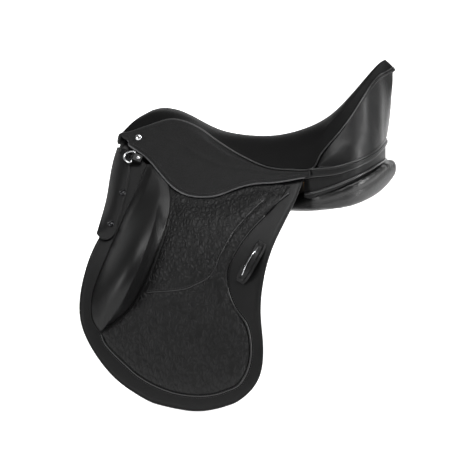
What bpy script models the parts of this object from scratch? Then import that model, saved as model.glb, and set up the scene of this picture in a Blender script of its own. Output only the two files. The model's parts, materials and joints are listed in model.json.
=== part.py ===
"""English dressage saddle with one flap on each side, built as separate pieces.

Frame: +X to the rear, +Y to the off (right) side, +Z up.
The origin is where the saddle rests on the horse's back: on the centre plane, at mid-length,
level with the lowest line of the two panels. All sizes below are in millimetres.
"""

import math

import bmesh
import bpy
import numpy as np

MM = 0.001

# Driving sizes of the whole saddle
LENGTH = 540.0
SEAT_RISE = 261.0
FLAP_DROP = 329.0
WIDTH = 486.0

# Leather, foam and tree thicknesses, outermost first
SEAT_LEATHER = 2.0
SEAT_FOAM = 16.9
SEAT_WEB = 1.4
TREE_WOOD = 9.0
GULLET_STEEL = 3.0
SPRING_STEEL = 1.8
SKIRT_LEATHER = 4.0
FLAP_LEATHER = 6.0
INSERT_PADDING = 4.0
FRONT_STRAP_LEATHER = 3.0
GIRTH_STRAP_LEATHER = 4.0
GIRTH_STRAP_WIDTH = 30.0
GIRTH_WEB = 2.6
UNDER_FLAP_PADDING = 10.0
CANTLE_LEATHER = 3.0
GUSSET_LEATHER = 4.0
BLOCK_HEIGHT = 44.0

# Clearances
TOUCH = 0.6
FACET_ROOM = 1.0
SKIRT_CLEARANCE = 4.0
STRAP_ROOM = 4.0
SEAM_GAP = 3.0
PIVOT_GAP = 0.3

# Stirrup bar, measured square to the skirt
BAR_BELOW_HINGE = 18.0
BAR_UNDER_SKIRT = 2.3
BAR_BLADE = 5.0
BAR_LEATHER_GAP = 8.0
BAR_PLATE = 3.0
BAR_LENGTH = 92.0
BAR_HEIGHT = 14.0
CATCH_HEIGHT = 8.0
CATCH_PIN_RADIUS = 1.5

# Small fittings
D_WIRE_RADIUS = 2.0
D_DEPTH = 16.0
D_HEIGHT = 24.0
CHAPE_WIDTH = 14.0
CHAPE_LEATHER = 1.7
NAIL_RADIUS = 6.2
SCREW_RADIUS = 5.0
RIVET_RADIUS = 3.4
KEEPER_LENGTH = 76.0
KEEPER_WIDTH = 20.0
KEEPER_LEATHER = 3.0
KEEPER_GAP = 8.0
PUNCH_HOLE = 5.0
PUNCH_PITCH = 25.0

# The reference saddle that the outlines below are drawn on
DRAWN_LENGTH = 540.0
DRAWN_RISE = 261.0
DRAWN_DROP = 329.0
DRAWN_WIDTH = 486.0
ALONG = LENGTH / DRAWN_LENGTH
ABOVE = SEAT_RISE / DRAWN_RISE
BELOW = FLAP_DROP / DRAWN_DROP
ACROSS = WIDTH / DRAWN_WIDTH

# Curved sheets that lie on each other are cut at different places, so they need more room where they curve more
SHEET_GAP = FACET_ROOM * (ACROSS * BELOW) ** 2
SKIRT_OVER_FLAP = SKIRT_CLEARANCE + SHEET_GAP

# The skirt's hinge is a straight line on the skirt's outer face, from pommel to rear
HINGE_FRONT = np.array([-190.0 * ALONG, 42.0 * ACROSS + SKIRT_LEATHER, 121.0 * ABOVE])
HINGE_REAR = np.array([100.0 * ALONG, 142.0 * ACROSS + SKIRT_LEATHER, 62.0 * ABOVE])
SKIRT_FLARE = 0.72
SKIRT_TOP_LEAN = 0.45
SKIRT_REACH = 1.25  # slant length of the lower skirt's slope for one unit of depth

SIDES = (("left", -1), ("right", 1))


# ---------------------------------------------------------------- outlines and curves


def drawn(points):
    """Outline points (x, z) of the drawn saddle, at this saddle's size."""
    return np.array([(x * ALONG, z * (ABOVE if z > 0 else BELOW)) for x, z in points], float)


def drawn3(points):
    """Points (x, y, z) of the drawn saddle, at this saddle's size."""
    flat = drawn([(x, z) for x, y, z in points])
    return np.array([(p[0], y * ACROSS, p[1]) for p, (x, y, z) in zip(flat, points)])


def spline(points, where):
    """Points on the smooth curve through the given ones, where 0 is the first and 1 the next."""
    points = np.asarray(points, float)
    where = np.clip(np.asarray(where, float), 0, len(points) - 1)
    padded = np.concatenate([[2 * points[0] - points[1]], points, [2 * points[-1] - points[-2]]])
    start = np.minimum(where.astype(int), len(points) - 2)
    t = (where - start)[(...,) + (None,) * (points.ndim - 1)]
    a, b, c, d = (padded[start + k] for k in range(4))
    return 0.5 * (2 * b + (c - a) * t + (2 * a - 5 * b + 4 * c - d) * t**2 + (3 * b - a - 3 * c + d) * t**3)


def evenly(points, count, smooth=True):
    """The curve through the points, as count + 1 points at equal steps along it."""
    points = np.asarray(points, float)
    if smooth and len(points) > 2:
        points = spline(points, np.linspace(0, len(points) - 1, 12 * len(points)))
    run = np.concatenate([[0], np.cumsum(np.linalg.norm(np.diff(points, axis=0), axis=1))])
    steps = np.linspace(0, run[-1], count + 1)
    return np.stack([np.interp(steps, run, points[:, k]) for k in range(points.shape[1])], axis=1)


def patch(left, right, top, bottom, rows, columns):
    """A grid of points that fills the space between four edges that meet at their ends."""
    left, right = evenly(left, rows), evenly(right, rows)
    top, bottom = evenly(top, columns), evenly(bottom, columns)
    v = np.linspace(0, 1, rows + 1)[:, None, None]
    u = np.linspace(0, 1, columns + 1)[None, :, None]
    across = (1 - u) * left[:, None] + u * right[:, None]
    down = (1 - v) * top[None] + v * bottom[None]
    corners = (1 - u) * ((1 - v) * top[0] + v * bottom[0]) + u * ((1 - v) * top[-1] + v * bottom[-1])
    return across + down - corners


def smoothstep(t):
    t = np.clip(t, 0, 1)
    return t * t * (3 - 2 * t)


# ---------------------------------------------------------------- meshes and materials


def material(name, colour, roughness, metallic=0.0):
    made = bpy.data.materials.get(name)
    if made is None:
        made = bpy.data.materials.new(name)
        made.use_nodes = True
        shader = made.node_tree.nodes["Principled BSDF"]
        shader.inputs["Base Color"].default_value = (*colour, 1)
        shader.inputs["Roughness"].default_value = roughness
        shader.inputs["Metallic"].default_value = metallic
        made.diffuse_color = (*colour, 1)
    return made


def smooth_leather():
    return material("smooth_black_leather", (0.012, 0.012, 0.013), 0.45)


def grained_leather():
    return material("grained_black_leather", (0.018, 0.018, 0.019), 0.55)


def bridle_leather():
    return material("black_bridle_leather", (0.015, 0.014, 0.014), 0.4)


def padding():
    return material("black_padded_leather", (0.014, 0.014, 0.015), 0.5)


def foam():
    return material("seat_foam", (0.75, 0.7, 0.55), 0.9)


def webbing():
    return material("woven_webbing", (0.65, 0.6, 0.5), 0.85)


def laminate():
    return material("laminated_beech", (0.45, 0.3, 0.17), 0.5)


def steel():
    return material("polished_steel", (0.6, 0.6, 0.6), 0.25, 1.0)


def black_metal():
    return material("black_coated_steel", (0.01, 0.01, 0.01), 0.35, 0.6)


def piece(name, points, faces, look, origin=None):
    """One closed mesh, its points in millimetres in the saddle's frame, placed by its location."""
    points = np.asarray(points, float)
    used = sorted({i for face in faces for i in face})
    renumber = {old: new for new, old in enumerate(used)}
    points = points[used]
    if origin is None:
        origin = (points.min(axis=0) + points.max(axis=0)) / 2
    mesh = bpy.data.meshes.new(name)
    mesh.from_pydata((points - origin) * MM, [], [[renumber[i] for i in face] for face in faces])
    shape = bmesh.new()
    shape.from_mesh(mesh)
    bmesh.ops.recalc_face_normals(shape, faces=shape.faces)
    if shape.calc_volume(signed=True) < 0:
        bmesh.ops.reverse_faces(shape, faces=shape.faces)
    shape.to_mesh(mesh)
    shape.free()
    mesh.materials.append(look)
    mesh.shade_smooth()
    mesh.set_sharp_from_angle(angle=math.radians(40))
    made = bpy.data.objects.new(name, mesh)
    made.location = np.asarray(origin, float) * MM
    bpy.context.scene.collection.objects.link(made)
    return made


def slab(name, outer, inner, look, filled=None, origin=None):
    """A closed sheet between two grids of points. Cells that aren't filled are holes."""
    rows, columns = outer.shape[0] - 1, outer.shape[1] - 1
    if filled is None:
        filled = np.ones((rows, columns), bool)
    filled = np.pad(filled, 1)
    below = outer.shape[0] * outer.shape[1]
    faces = []

    def corner(row, column):
        return row * (columns + 1) + column

    for row in range(rows):
        for column in range(columns):
            if not filled[row + 1, column + 1]:
                continue
            a, b = corner(row, column), corner(row, column + 1)
            c, d = corner(row + 1, column + 1), corner(row + 1, column)
            faces += [(a, b, c), (a, c, d)]
            faces += [(a + below, c + below, b + below), (a + below, d + below, c + below)]
            for empty, (p, q) in (
                (not filled[row, column + 1], (a, b)),
                (not filled[row + 1, column + 2], (b, c)),
                (not filled[row + 2, column + 1], (c, d)),
                (not filled[row + 1, column], (d, a)),
            ):
                if empty:
                    faces += [(q, p, p + below), (q, p + below, q + below)]
    points = np.concatenate([outer.reshape(-1, 3), inner.reshape(-1, 3)])
    return piece(name, points, faces, look, origin)


def extrusion(name, outline, low, high, frame, look, hole=None, origin=None):
    """An outline in a frame's first two axes, drawn out along its third. A hole has as many points."""
    count = len(outline)
    loops = [outline] if hole is None else [outline, hole]
    points = [frame.at(x, n, h) for loop in loops for h in (low, high) for x, n in loop]
    faces = []
    for k in range(count):
        m = (k + 1) % count
        faces += [(k, m, m + count), (k, m + count, k + count)]
        if hole is not None:
            far = 2 * count
            faces += [(far + m, far + k, far + k + count), (far + m, far + k + count, far + m + count)]
            faces += [(m, k, k + far), (m, k + far, m + far)]
            faces += [(k + count, m + count, m + far + count), (k + count, m + far + count, k + far + count)]
    if hole is None:
        faces += [tuple(range(count))[::-1], tuple(range(count, 2 * count))]
    return piece(name, points, faces, look, origin)


def ring_tube(name, path, radius, sides, look, origin=None):
    """A closed ring of wire along a loop of points that lies in one plane."""
    path = np.asarray(path, float)
    along = np.roll(path, -1, axis=0) - np.roll(path, 1, axis=0)
    along /= np.linalg.norm(along, axis=1)[:, None]
    square = np.cross(path[1] - path[0], path[len(path) // 2] - path[0])
    square /= np.linalg.norm(square)
    inward = np.cross(square, along)
    points, faces = [], []
    for centre, side in zip(path, inward):
        for k in range(sides):
            turn = 2 * math.pi * k / sides
            points.append(centre + radius * (math.cos(turn) * side + math.sin(turn) * square))
    count = len(path)
    for i in range(count):
        for k in range(sides):
            a, b = i * sides + k, i * sides + (k + 1) % sides
            c, d = ((i + 1) % count) * sides + (k + 1) % sides, ((i + 1) % count) * sides + k
            faces += [(a, b, c), (a, c, d)]
    return piece(name, points, faces, look, origin)


def dome(name, frame, radius, rise, rim, sides, look):
    """A round head that stands on its frame: a rim of the given height and a domed top."""
    profile = [(radius * 0.94, 0), (radius, rim)]
    profile += [(radius * math.cos(math.radians(a)), rim + rise * math.sin(math.radians(a))) for a in (28, 58)]
    points = []
    for r, height in profile:
        for k in range(sides):
            turn = 2 * math.pi * k / sides
            points.append(frame.at(r * math.cos(turn), height, r * math.sin(turn)))
    points.append(frame.at(0, rim + rise, 0))
    faces = [tuple(range(sides))]
    for level in range(len(profile) - 1):
        for k in range(sides):
            a, b = level * sides + k, level * sides + (k + 1) % sides
            faces += [(a, b, b + sides), (a, b + sides, a + sides)]
    last = (len(profile) - 1) * sides
    faces += [(last + k, last + (k + 1) % sides, len(points) - 1) for k in range(sides)]
    return piece(name, points, faces, look)


def cylinder(name, frame, radius, low, high, sides, look):
    outline = [(radius * math.cos(2 * math.pi * k / sides), radius * math.sin(2 * math.pi * k / sides)) for k in range(sides)]
    return extrusion(name, outline, low, high, frame, look)


def cut(target, cutter):
    """Takes the cutter's shape out of the target, and leaves the cutter as a hidden guide."""
    change = target.modifiers.new("cut_" + cutter.name, "BOOLEAN")
    change.operation = "DIFFERENCE"
    change.solver = "EXACT"
    change.object = cutter
    cutter.hide_render = True
    cutter.display_type = "WIRE"
    cutter.hide_set(True)


# ---------------------------------------------------------------- the saddle's side surfaces


def hinge_share(x):
    return (x - HINGE_FRONT[0]) / (HINGE_REAR[0] - HINGE_FRONT[0])


def hinge_height(x):
    return HINGE_FRONT[2] + (HINGE_REAR[2] - HINGE_FRONT[2]) * hinge_share(x)


def skirt_top_face(x, z):
    """Half-width of the plane that the fixed top strip of the skirt lies in."""
    half = HINGE_FRONT[1] + (HINGE_REAR[1] - HINGE_FRONT[1]) * hinge_share(x)
    return half - SKIRT_TOP_LEAN * (z - hinge_height(x))


def skirt_face(x, z):
    """Half-width of the plane that the lower, lifting skirt lies in."""
    half = HINGE_FRONT[1] + (HINGE_REAR[1] - HINGE_FRONT[1]) * hinge_share(x)
    return half + SKIRT_FLARE * (hinge_height(x) - z)


def skirt_side(x, z):
    return np.where(z > hinge_height(x), skirt_top_face(x, z), skirt_face(x, z))


def flap_face(x, z):
    """Half-width of the flap's outer face: under the skirt at the top, round the barrel below."""
    under_skirt = skirt_side(x, z) - SKIRT_LEATHER - SKIRT_OVER_FLAP
    height = np.clip((z + FLAP_DROP) / (FLAP_DROP + 80 * ABOVE), 0, 1.4)
    barrel = (232 - 114 * height**2.1) * ACROSS + 0.10 * (x + 110 * ALONG)
    top = np.interp(x, [-190 * ALONG, -60 * ALONG, 100 * ALONG], [135 * ABOVE, 143 * ABOVE, 73 * ABOVE])
    return under_skirt + (barrel - under_skirt) * smoothstep((top - z - 60) / (270 * BELOW))


class Frame:
    """A place on one side of the saddle: x along the hinge, n square out of the skirt, h up it."""

    def __init__(self, x, z, side, lift=0.0, face=skirt_face):
        slope_x = face(x + 1, z) - face(x, z)
        slope_z = face(x, z + 1) - face(x, z)
        out = np.array([-slope_x, 1, -slope_z])
        self.n = out / np.linalg.norm(out)
        along = HINGE_REAR - HINGE_FRONT
        along -= along @ self.n * self.n
        self.x = along / np.linalg.norm(along)
        self.h = np.cross(self.x, self.n)
        self.centre = np.array([x, face(x, z), z]) + lift * self.n
        self.mirror = np.array([1, side, 1])

    def at(self, x, n, h):
        return (self.centre + x * self.x + n * self.n + h * self.h) * self.mirror

    def moved(self, x, n, h):
        copy = Frame.__new__(Frame)
        copy.__dict__.update(self.__dict__)
        copy.centre = self.centre + x * self.x + n * self.n + h * self.h
        return copy


def sheet(name, outline, side, face, outer, inner, look, filled=None, origin=None):
    """A layer on one side: an outline grid (x, z) between two depths, measured across from a face."""
    x, z = outline[..., 0], outline[..., 1]
    half = face(x, z)
    front = np.stack([x, side * (half + outer), z], axis=-1)
    back = np.stack([x, side * (half + inner), z], axis=-1)
    return slab(name, front, back, look, filled, origin)


# ---------------------------------------------------------------- seat layers

# Each station across the seat, from pommel to cantle: centre (x, z), crest and side seam (x, y, z)
SEAT_STATIONS = (
    ((-148, 175), (-178, 22, 158), (-203, 38, 133)),
    ((-128, 179), (-150, 25, 170), (-175, 41, 140)),
    ((-100, 174), (-112, 30, 172), (-120, 48, 158)),
    ((-70, 159), (-72, 38, 156), (-78, 62, 148)),
    ((-35, 140), (-35, 50, 137), (-40, 80, 123)),
    ((5, 130), (5, 65, 130), (0, 102, 98)),
    ((50, 124), (50, 80, 127), (44, 124, 78)),
    ((95, 128), (93, 92, 135), (84, 137, 73)),
    ((140, 141), (132, 100, 151), (121, 143, 75)),
    ((170, 157), (155, 105, 167), (137, 138, 101)),
    ((196, 180), (180, 97, 189), (167, 125, 136)),
    ((214, 200), (200, 84, 211), (187, 112, 162)),
    ((230, 222), (218, 66, 233), (207, 94, 193)),
    ((242, 242), (236, 40, 253), (229, 62, 226)),
    ((249, 256), (247, 18, 260), (246, 30, 238)),
    ((262, 247), (262, 8, 247), (261, 16, 246)),
)
SEAT_ROWS = (0, 0.35, 0.8, 1.4, 2, 2.6, 3.3, 4, 5, 6, 7, 8, 9, 10, 11, 12, 12.7, 13.3, 14, 14.5, 15)
SEAT_COLUMNS = (-1, -0.86, -0.68, -0.5, -0.34, -0.16, 0, 0.16, 0.34, 0.5, 0.68, 0.86, 1)
FRONT_LIP = 16.0  # how far the seat leather turns down over the pommel's front

# Foot of the cantle panel below each seat station from 8 to 15
CANTLE_FOOT = (
    (121, 143, 75),
    (157, 150, 78),
    (187, 145, 86),
    (207, 132, 94),
    (228, 105, 105),
    (242, 70, 118),
    (249, 35, 126),
    (251, 12, 129),
)


def seat_grid():
    """The seat's outer surface, row by row, with a first row for the lip at the pommel."""
    stations = []
    for (cx, cz), crest, seam in SEAT_STATIONS:
        (rx, ry, rz), (sx, sy, sz) = crest, seam
        half = [(cx, 0, cz), (rx, ry, rz), (sx, sy, sz)]
        other = [(x, -y, z) for x, y, z in half[:0:-1]]
        stations.append(drawn3(other + half))
    stations = np.array(stations)
    rows = spline(stations, SEAT_ROWS)
    across = np.moveaxis(rows, 1, 0)
    grid = np.moveaxis(spline(across, 2 + 2 * np.array(SEAT_COLUMNS)), 0, 1)
    lip = grid[0] + np.array([-3.0, 0, -FRONT_LIP])
    return np.concatenate([lip[None], grid])


def grid_normals(grid):
    along = np.gradient(grid, axis=0)
    across = np.gradient(grid, axis=1)
    normal = np.cross(along, across)
    return normal / np.linalg.norm(normal, axis=-1)[..., None]


def seat_layer(grid, depth):
    """The seat surface sunk by a depth. The layers thin out towards the pommel and the cantle's top."""
    share = np.interp((0,) + SEAT_ROWS, [0, 1, 3, 9, 11, 15], [0.5, 0.5, 1, 1, 0.85, 0.5])
    thinned = np.where(depth > SEAT_LEATHER, SEAT_LEATHER + (depth - SEAT_LEATHER) * share, depth)
    return grid - grid_normals(grid) * thinned[:, None, None]


def row_of(station):
    """The grid row of a seat station, counting the lip's row."""
    return 1 + int(np.argmin(np.abs(np.array(SEAT_ROWS) - station)))


def seat_cover(grid):
    return slab("seat_cover", grid, seat_layer(grid, SEAT_LEATHER), smooth_leather())


CANTLE_NECK = 9  # from this station back, foam and tree stay inside the seat's crests
CANTLE_END = 11  # the last station of foam and tree
FOAM_TOP = SEAT_LEATHER + TOUCH
WEB_TOP = FOAM_TOP + SEAT_FOAM + TOUCH
TREE_TOP = WEB_TOP + SEAT_WEB + TOUCH
PLATE_TOP = TREE_TOP + TREE_WOOD + TOUCH


def seat_foam(grid):
    rows, columns = slice(row_of(0.35), row_of(CANTLE_END) + 1), slice(1, -1)
    outer = seat_layer(grid, FOAM_TOP)[rows, columns]
    inner = seat_layer(grid, FOAM_TOP + SEAT_FOAM)[rows, columns]
    filled = np.ones((outer.shape[0] - 1, outer.shape[1] - 1), bool)
    for station, cells in ((CANTLE_NECK, 2), (CANTLE_NECK + 1, 3)):
        filled[row_of(station) - rows.start :, :cells] = False
        filled[row_of(station) - rows.start :, -cells:] = False
    return slab("seat_foam", outer, inner, foam(), filled)


def seat_webbing(grid):
    rows, columns = slice(row_of(2), row_of(10) + 1), slice(2, -2)
    outer, inner = seat_layer(grid, WEB_TOP)[rows, columns], seat_layer(grid, WEB_TOP + SEAT_WEB)[rows, columns]
    return slab("seat_webbing", outer, inner, webbing())


# ---------------------------------------------------------------- tree and steels

TREE_SET = SKIRT_LEATHER + SKIRT_REACH * (BAR_UNDER_SKIRT + BAR_BLADE + BAR_LEATHER_GAP + BAR_PLATE + TOUCH)
SPRING_END = 0.3  # width of a spring's ends for one unit of its width
POINT_TIP = 40.0  # height of the tree's two points
RAIL_EDGE = 44.0  # height of the lower edge of the rails that carry the stirrup bars


def with_sides(grid, depth, across):
    """A layer of the seat, with two more columns each side down to the tree's lower edge."""
    layer = seat_layer(grid, depth)
    stations = np.array((0,) + SEAT_ROWS)
    reach = 1 - smoothstep((stations - 5.2) / 1.3)
    tip = np.interp(stations, [0, 1.2, 1.8, 6], [POINT_TIP, POINT_TIP, RAIL_EDGE, RAIL_EDGE]) * ABOVE
    edge = layer[:, -1]
    turn = edge - layer[:, -2]
    turn /= np.linalg.norm(turn, axis=1)[:, None]
    made = []
    for share, fall in ((0.0, 3.0), (1.0, 6.0)):
        low = hinge_height(edge[:, 0]) - 2.0
        z = low + (np.minimum(tip, low - 4) - low) * share
        rail = np.stack([edge[:, 0], skirt_face(edge[:, 0], z) - TREE_SET - across, z], axis=1)
        stub = edge + turn * fall
        made.append(stub + (rail - stub) * reach[:, None])
    mirror = np.array([1, -1, 1])
    right = np.stack(made, axis=1)
    return np.concatenate([right[:, ::-1] * mirror, layer, right], axis=1)


def saddle_tree(grid):
    top, bottom = with_sides(grid, TREE_TOP, 0), with_sides(grid, TREE_TOP + TREE_WOOD, TREE_WOOD)
    rows = slice(row_of(0.35), row_of(CANTLE_END) + 1)
    filled = np.ones((top.shape[0] - 1, top.shape[1] - 1), bool)
    filled[row_of(2.6) : row_of(CANTLE_NECK), 6:-6] = False
    for station, columns in ((CANTLE_NECK, 5), (CANTLE_NECK + 1, 6)):
        filled[row_of(station) :, :columns] = False
        filled[row_of(station) :, -columns:] = False
    return slab("saddle_tree", top[rows], bottom[rows], laminate(), filled[row_of(0.35) : row_of(CANTLE_END)])


def gullet_plate(grid):
    rows = slice(row_of(0.35), row_of(1.4) + 1)
    outer = with_sides(grid, PLATE_TOP, TREE_WOOD + TOUCH)[rows]
    inner = with_sides(grid, PLATE_TOP + GULLET_STEEL, TREE_WOOD + TOUCH + GULLET_STEEL)[rows]
    return slab("gullet_plate", outer, inner, steel())


def spring(grid, tag, side):
    """A strip of spring steel under one side of the tree, its ends cut narrower."""
    rows = slice(row_of(2), row_of(10) + 1)
    columns = [9, 10] if side > 0 else [2, 3]
    layers = []
    for depth in (PLATE_TOP, PLATE_TOP + SPRING_STEEL):
        layer = seat_layer(grid, depth)[rows, columns]
        for end in (0, -1):
            middle = layer[end].mean(axis=0)
            layer[end] = middle + (layer[end] - middle) * SPRING_END
        layers.append(layer)
    return slab("spring_" + tag, layers[0], layers[1], steel())


# ---------------------------------------------------------------- cantle panel, gussets and panels


def cantle_panel():
    """The side and back leather of the cantle, from one side's seam round the back to the other's."""
    where = np.array([8.35, 9, 9.7, 10.4, 11.2, 12, 12.6, 13.2, 13.8, 14.4, 15])
    seam = spline(drawn3([row[2] for row in SEAT_STATIONS]), where)
    foot = spline(drawn3(CANTLE_FOOT), where - 8)
    drop = (foot - seam) / np.linalg.norm(foot - seam, axis=1)[:, None]
    seam = seam + drop * SEAM_GAP
    mirror = np.array([1, -1, 1])
    seam = np.concatenate([seam * mirror, seam[::-1]])
    foot = np.concatenate([foot * mirror, foot[::-1]])
    share = np.array([0, 0.2, 0.45, 0.72, 1])[:, None, None]
    flat = seam[None] + (foot - seam)[None] * share
    normal = grid_normals(flat)
    outward = normal * np.sign(np.sum(normal * (flat - [100 * ALONG, 0, 0]), axis=-1))[..., None]
    bulge = np.sin(math.pi * share) * 3.0
    outer = flat + outward * bulge
    inner = outer - outward * CANTLE_LEATHER
    return slab("cantle_panel", outer, inner, smooth_leather())


GUSSET_FOOT = ((96, 30), (122, 35), (154, 44), (189, 58), (217, 72), (245, 87), (252, 93))


def gusset_height(x):
    edge = drawn(GUSSET_FOOT)
    return np.interp(x, edge[:, 0], edge[:, 1])


def rear_gusset(tag, side):
    """The upright grained strip between the panel and the cantle panel."""
    foot = spline(drawn3(CANTLE_FOOT), np.array([0, 0.6, 1.2, 1.8, 2.4, 3, 3.6, 4.2, 4.8, 5.4, 6, 6.2]))
    start = np.array([108.0 * ALONG, 133.0 * ACROSS, 72.0 * ABOVE])
    line = np.concatenate([[start], foot])
    run = np.gradient(line[:, :2], axis=0)
    out = np.stack([run[:, 1], -run[:, 0]], axis=1)
    out *= np.sign(np.sum(out * (line[:, :2] - [100 * ALONG, 0]), axis=1))[:, None]
    out /= np.linalg.norm(out, axis=1)[:, None]
    out[0] = (0, 1)
    grids = []
    for inset in (1.5, 1.5 + GUSSET_LEATHER):
        plan = line[:, :2] - out * inset
        top, low = line[:, 2] - SEAM_GAP, gusset_height(line[:, 0])
        levels = [top + (low - top) * t for t in (0, 0.5, 1)]
        grids.append(np.stack([np.column_stack([plan[:, 0], side * plan[:, 1], z]) for z in levels]))
    return slab("rear_gusset_" + tag, grids[0], grids[1], grained_leather())


# Corners of each panel section: bottom inner, bottom outer, top outer, top inner (y, z)
PANEL_SECTIONS = (
    (-172, (34, 56), (78, -6), (84, 6), (38, 78)),
    (-130, (28, 46), (92, -22), (102, -6), (34, 82)),
    (-80, (26, 32), (106, -18), (104, 8), (30, 74)),
    (-30, (26, 24), (122, -6), (104, 30), (28, 62)),
    (0, (26, 20), (128, 0), (106, 38), (28, 58)),
    (60, (26, 20), (128, 0), (106, 38), (28, 58)),
    (92, (26, 20), (130, -1), (122, 27), (28, 57)),
    (125, (26, 22), (144, 0), (146, 31), (28, 58)),
    (157, (26, 26), (150, 4), (154, 43), (28, 62)),
    (187, (26, 32), (145, 9), (152, 55), (28, 68)),
    (210, (26, 40), (128, 17), (139, 66), (28, 76)),
    (232, (26, 50), (98, 27), (113, 78), (28, 84)),
    (250, (27, 60), (70, 40), (84, 88), (28, 92)),
    (262, (29, 66), (52, 54), (60, 92), (29, 94)),
    (268, (33, 74), (44, 66), (48, 82), (33, 84)),
)


def panel(tag, side):
    """The flocked panel that bears on the horse, with a flat stretch under the rider's seat."""
    loops = []
    for x, *corners in PANEL_SECTIONS:
        corners = np.array(corners, float)
        loop = []
        for k in range(4):
            here, before, after = corners[k], corners[k - 1], corners[(k + 1) % 4]
            back, ahead = before - here, after - here
            reach = [min(11.0, 0.36 * np.linalg.norm(v)) / np.linalg.norm(v) for v in (back, ahead)]
            start, end = here + back * reach[0], here + ahead * reach[1]
            loop += [start, (start + end + 2 * here) / 4, end]
        flat = drawn3([(x, y, z) for y, z in loop])
        loops.append(flat * np.array([1, side, 1]))
    count = len(loops[0])
    faces = [tuple(range(count)), tuple(range((len(loops) - 1) * count, len(loops) * count))]
    for row in range(len(loops) - 1):
        for k in range(count):
            a, b = row * count + k, row * count + (k + 1) % count
            faces += [(a, b, b + count), (a, b + count, a + count)]
    return piece("panel_" + tag, np.concatenate(loops), faces, padding())


# ---------------------------------------------------------------- flap, insert, block and under-flap

FLAP_FRONT = (
    (-190, 100), (-196, 70), (-204, 24), (-214, -4), (-232, -32), (-247, -57), (-256, -84), (-264, -113),
    (-269, -142), (-269, -175), (-262, -200), (-249, -223), (-226, -257), (-197, -286), (-150, -314),
)
FLAP_REAR = (
    (108, 60), (97, 28), (81, -3), (67, -30), (54, -57), (45, -84), (38, -117), (34, -152), (35, -184),
    (39, -212), (39, -245), (34, -273), (18, -297), (-5, -314),
)
FLAP_TOP = ((-190, 100), (-165, 90), (-128, 58), (-60, 50), (0, 52), (60, 58), (108, 60))
FLAP_BOTTOM = ((-150, -314), (-120, -322), (-76, -329), (-40, -325), (-5, -314))


def flap(tag, side):
    grid = patch(*(drawn(edge) for edge in (FLAP_FRONT, FLAP_REAR, FLAP_TOP, FLAP_BOTTOM)), 13, 11)
    return sheet("flap_" + tag, grid, side, flap_face, 0, -FLAP_LEATHER, smooth_leather())


BLOCK_FRONT = (
    (-157, 82), (-165, 62), (-175, 36), (-190, 5), (-208, -36), (-222, -70), (-236, -104), (-246, -135),
    (-248, -163), (-244, -184), (-234, -196),
)
BLOCK_REAR = (
    (-141, 80), (-125, 62), (-119, 40), (-117, 14), (-122, -14), (-134, -50), (-146, -84), (-162, -120),
    (-182, -156), (-208, -180), (-226, -192),
)


def block_height(rows, columns):
    """How far the block stands off the flap: rising from the skirt, full below, steep at the rear."""
    v = np.linspace(0, 1, rows + 1)[:, None]
    u = np.linspace(0, 1, columns + 1)[None]
    down = smoothstep((v - 0.13) / 0.4) * (1 - 0.85 * smoothstep((v - 0.62) / 0.38))
    front = np.sin(0.5 * math.pi * np.clip(u / 0.62, 0, 1)) ** 0.9
    rear = 1 - smoothstep((u - 0.66) / 0.34) ** 1.4
    edge = SKIRT_CLEARANCE - SHEET_GAP  # its rim passes under the skirt
    return edge + (BLOCK_HEIGHT - edge) * down * front * rear


def thigh_block(tag, side):
    front, rear = drawn(BLOCK_FRONT), drawn(BLOCK_REAR)
    grid = patch(front, rear, [front[0], rear[0]], [front[-1], rear[-1]], 13, 8)
    x, z = grid[..., 0], grid[..., 1]
    half = flap_face(x, z) + SHEET_GAP
    height = block_height(13, 8)
    outer = np.stack([x, side * (half + height), z], axis=-1)
    inner = np.stack([x, side * half, z], axis=-1)
    return slab("thigh_block_" + tag, outer, inner, smooth_leather())


INSERT_REAR = (
    (84, 32), (60, 14), (30, -13), (6, -40), (-12, -68), (-23, -90), (-24, -111), (-18, -143), (-4, -166),
    (10, -186), (16, -212), (14, -250), (-1, -281),
)
INSERT_BOTTOM = ((-199, -240), (-179, -260), (-150, -280), (-110, -296), (-72, -301), (-35, -297), (-1, -281))
INSERT_TOP = ((-114, 22), (-60, 14), (-20, 24), (30, 40), (84, 32))
BLOCK_MARGIN = 3.0


def flap_insert(tag, side):
    """The padded, coarse-grained field of the flap, from the thigh block's rear edge back."""
    lower = [(x + BLOCK_MARGIN, z - BLOCK_MARGIN) for x, z in BLOCK_REAR[3:]]
    front = drawn([INSERT_TOP[0]] + lower + [(-234, -204), (-218, -222), INSERT_BOTTOM[0]])
    grid = patch(front, *(drawn(edge) for edge in (INSERT_REAR, INSERT_TOP, INSERT_BOTTOM)), 11, 8)
    return sheet("flap_insert_" + tag, grid, side, flap_face, SHEET_GAP + INSERT_PADDING, SHEET_GAP, grained_leather())


UNDER_FRONT = ((-185, 18), (-214, -40), (-232, -100), (-226, -150))
UNDER_REAR = ((18, 18), (12, -40), (-6, -100), (-30, -150))
GIRTH_BAY = 2 * STRAP_ROOM + GIRTH_STRAP_LEATHER


def under_flap(tag, side):
    front, rear = drawn(UNDER_FRONT), drawn(UNDER_REAR)
    grid = patch(front, rear, [front[0], rear[0]], [front[-1], drawn([(-128, -162)])[0], rear[-1]], 7, 8)
    outer = -FLAP_LEATHER - GIRTH_BAY
    return sheet("under_flap_" + tag, grid, side, flap_face, outer, outer - UNDER_FLAP_PADDING, padding())


# ---------------------------------------------------------------- girth webs and straps

GIRTHS = (("front", -80.0), ("rear", 0.0))
STRAP_TOP = 46.0
STRAP_END = -205.0
STRAP_STRAIGHT = -100.0  # the strap hangs in one plane below this height


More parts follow.
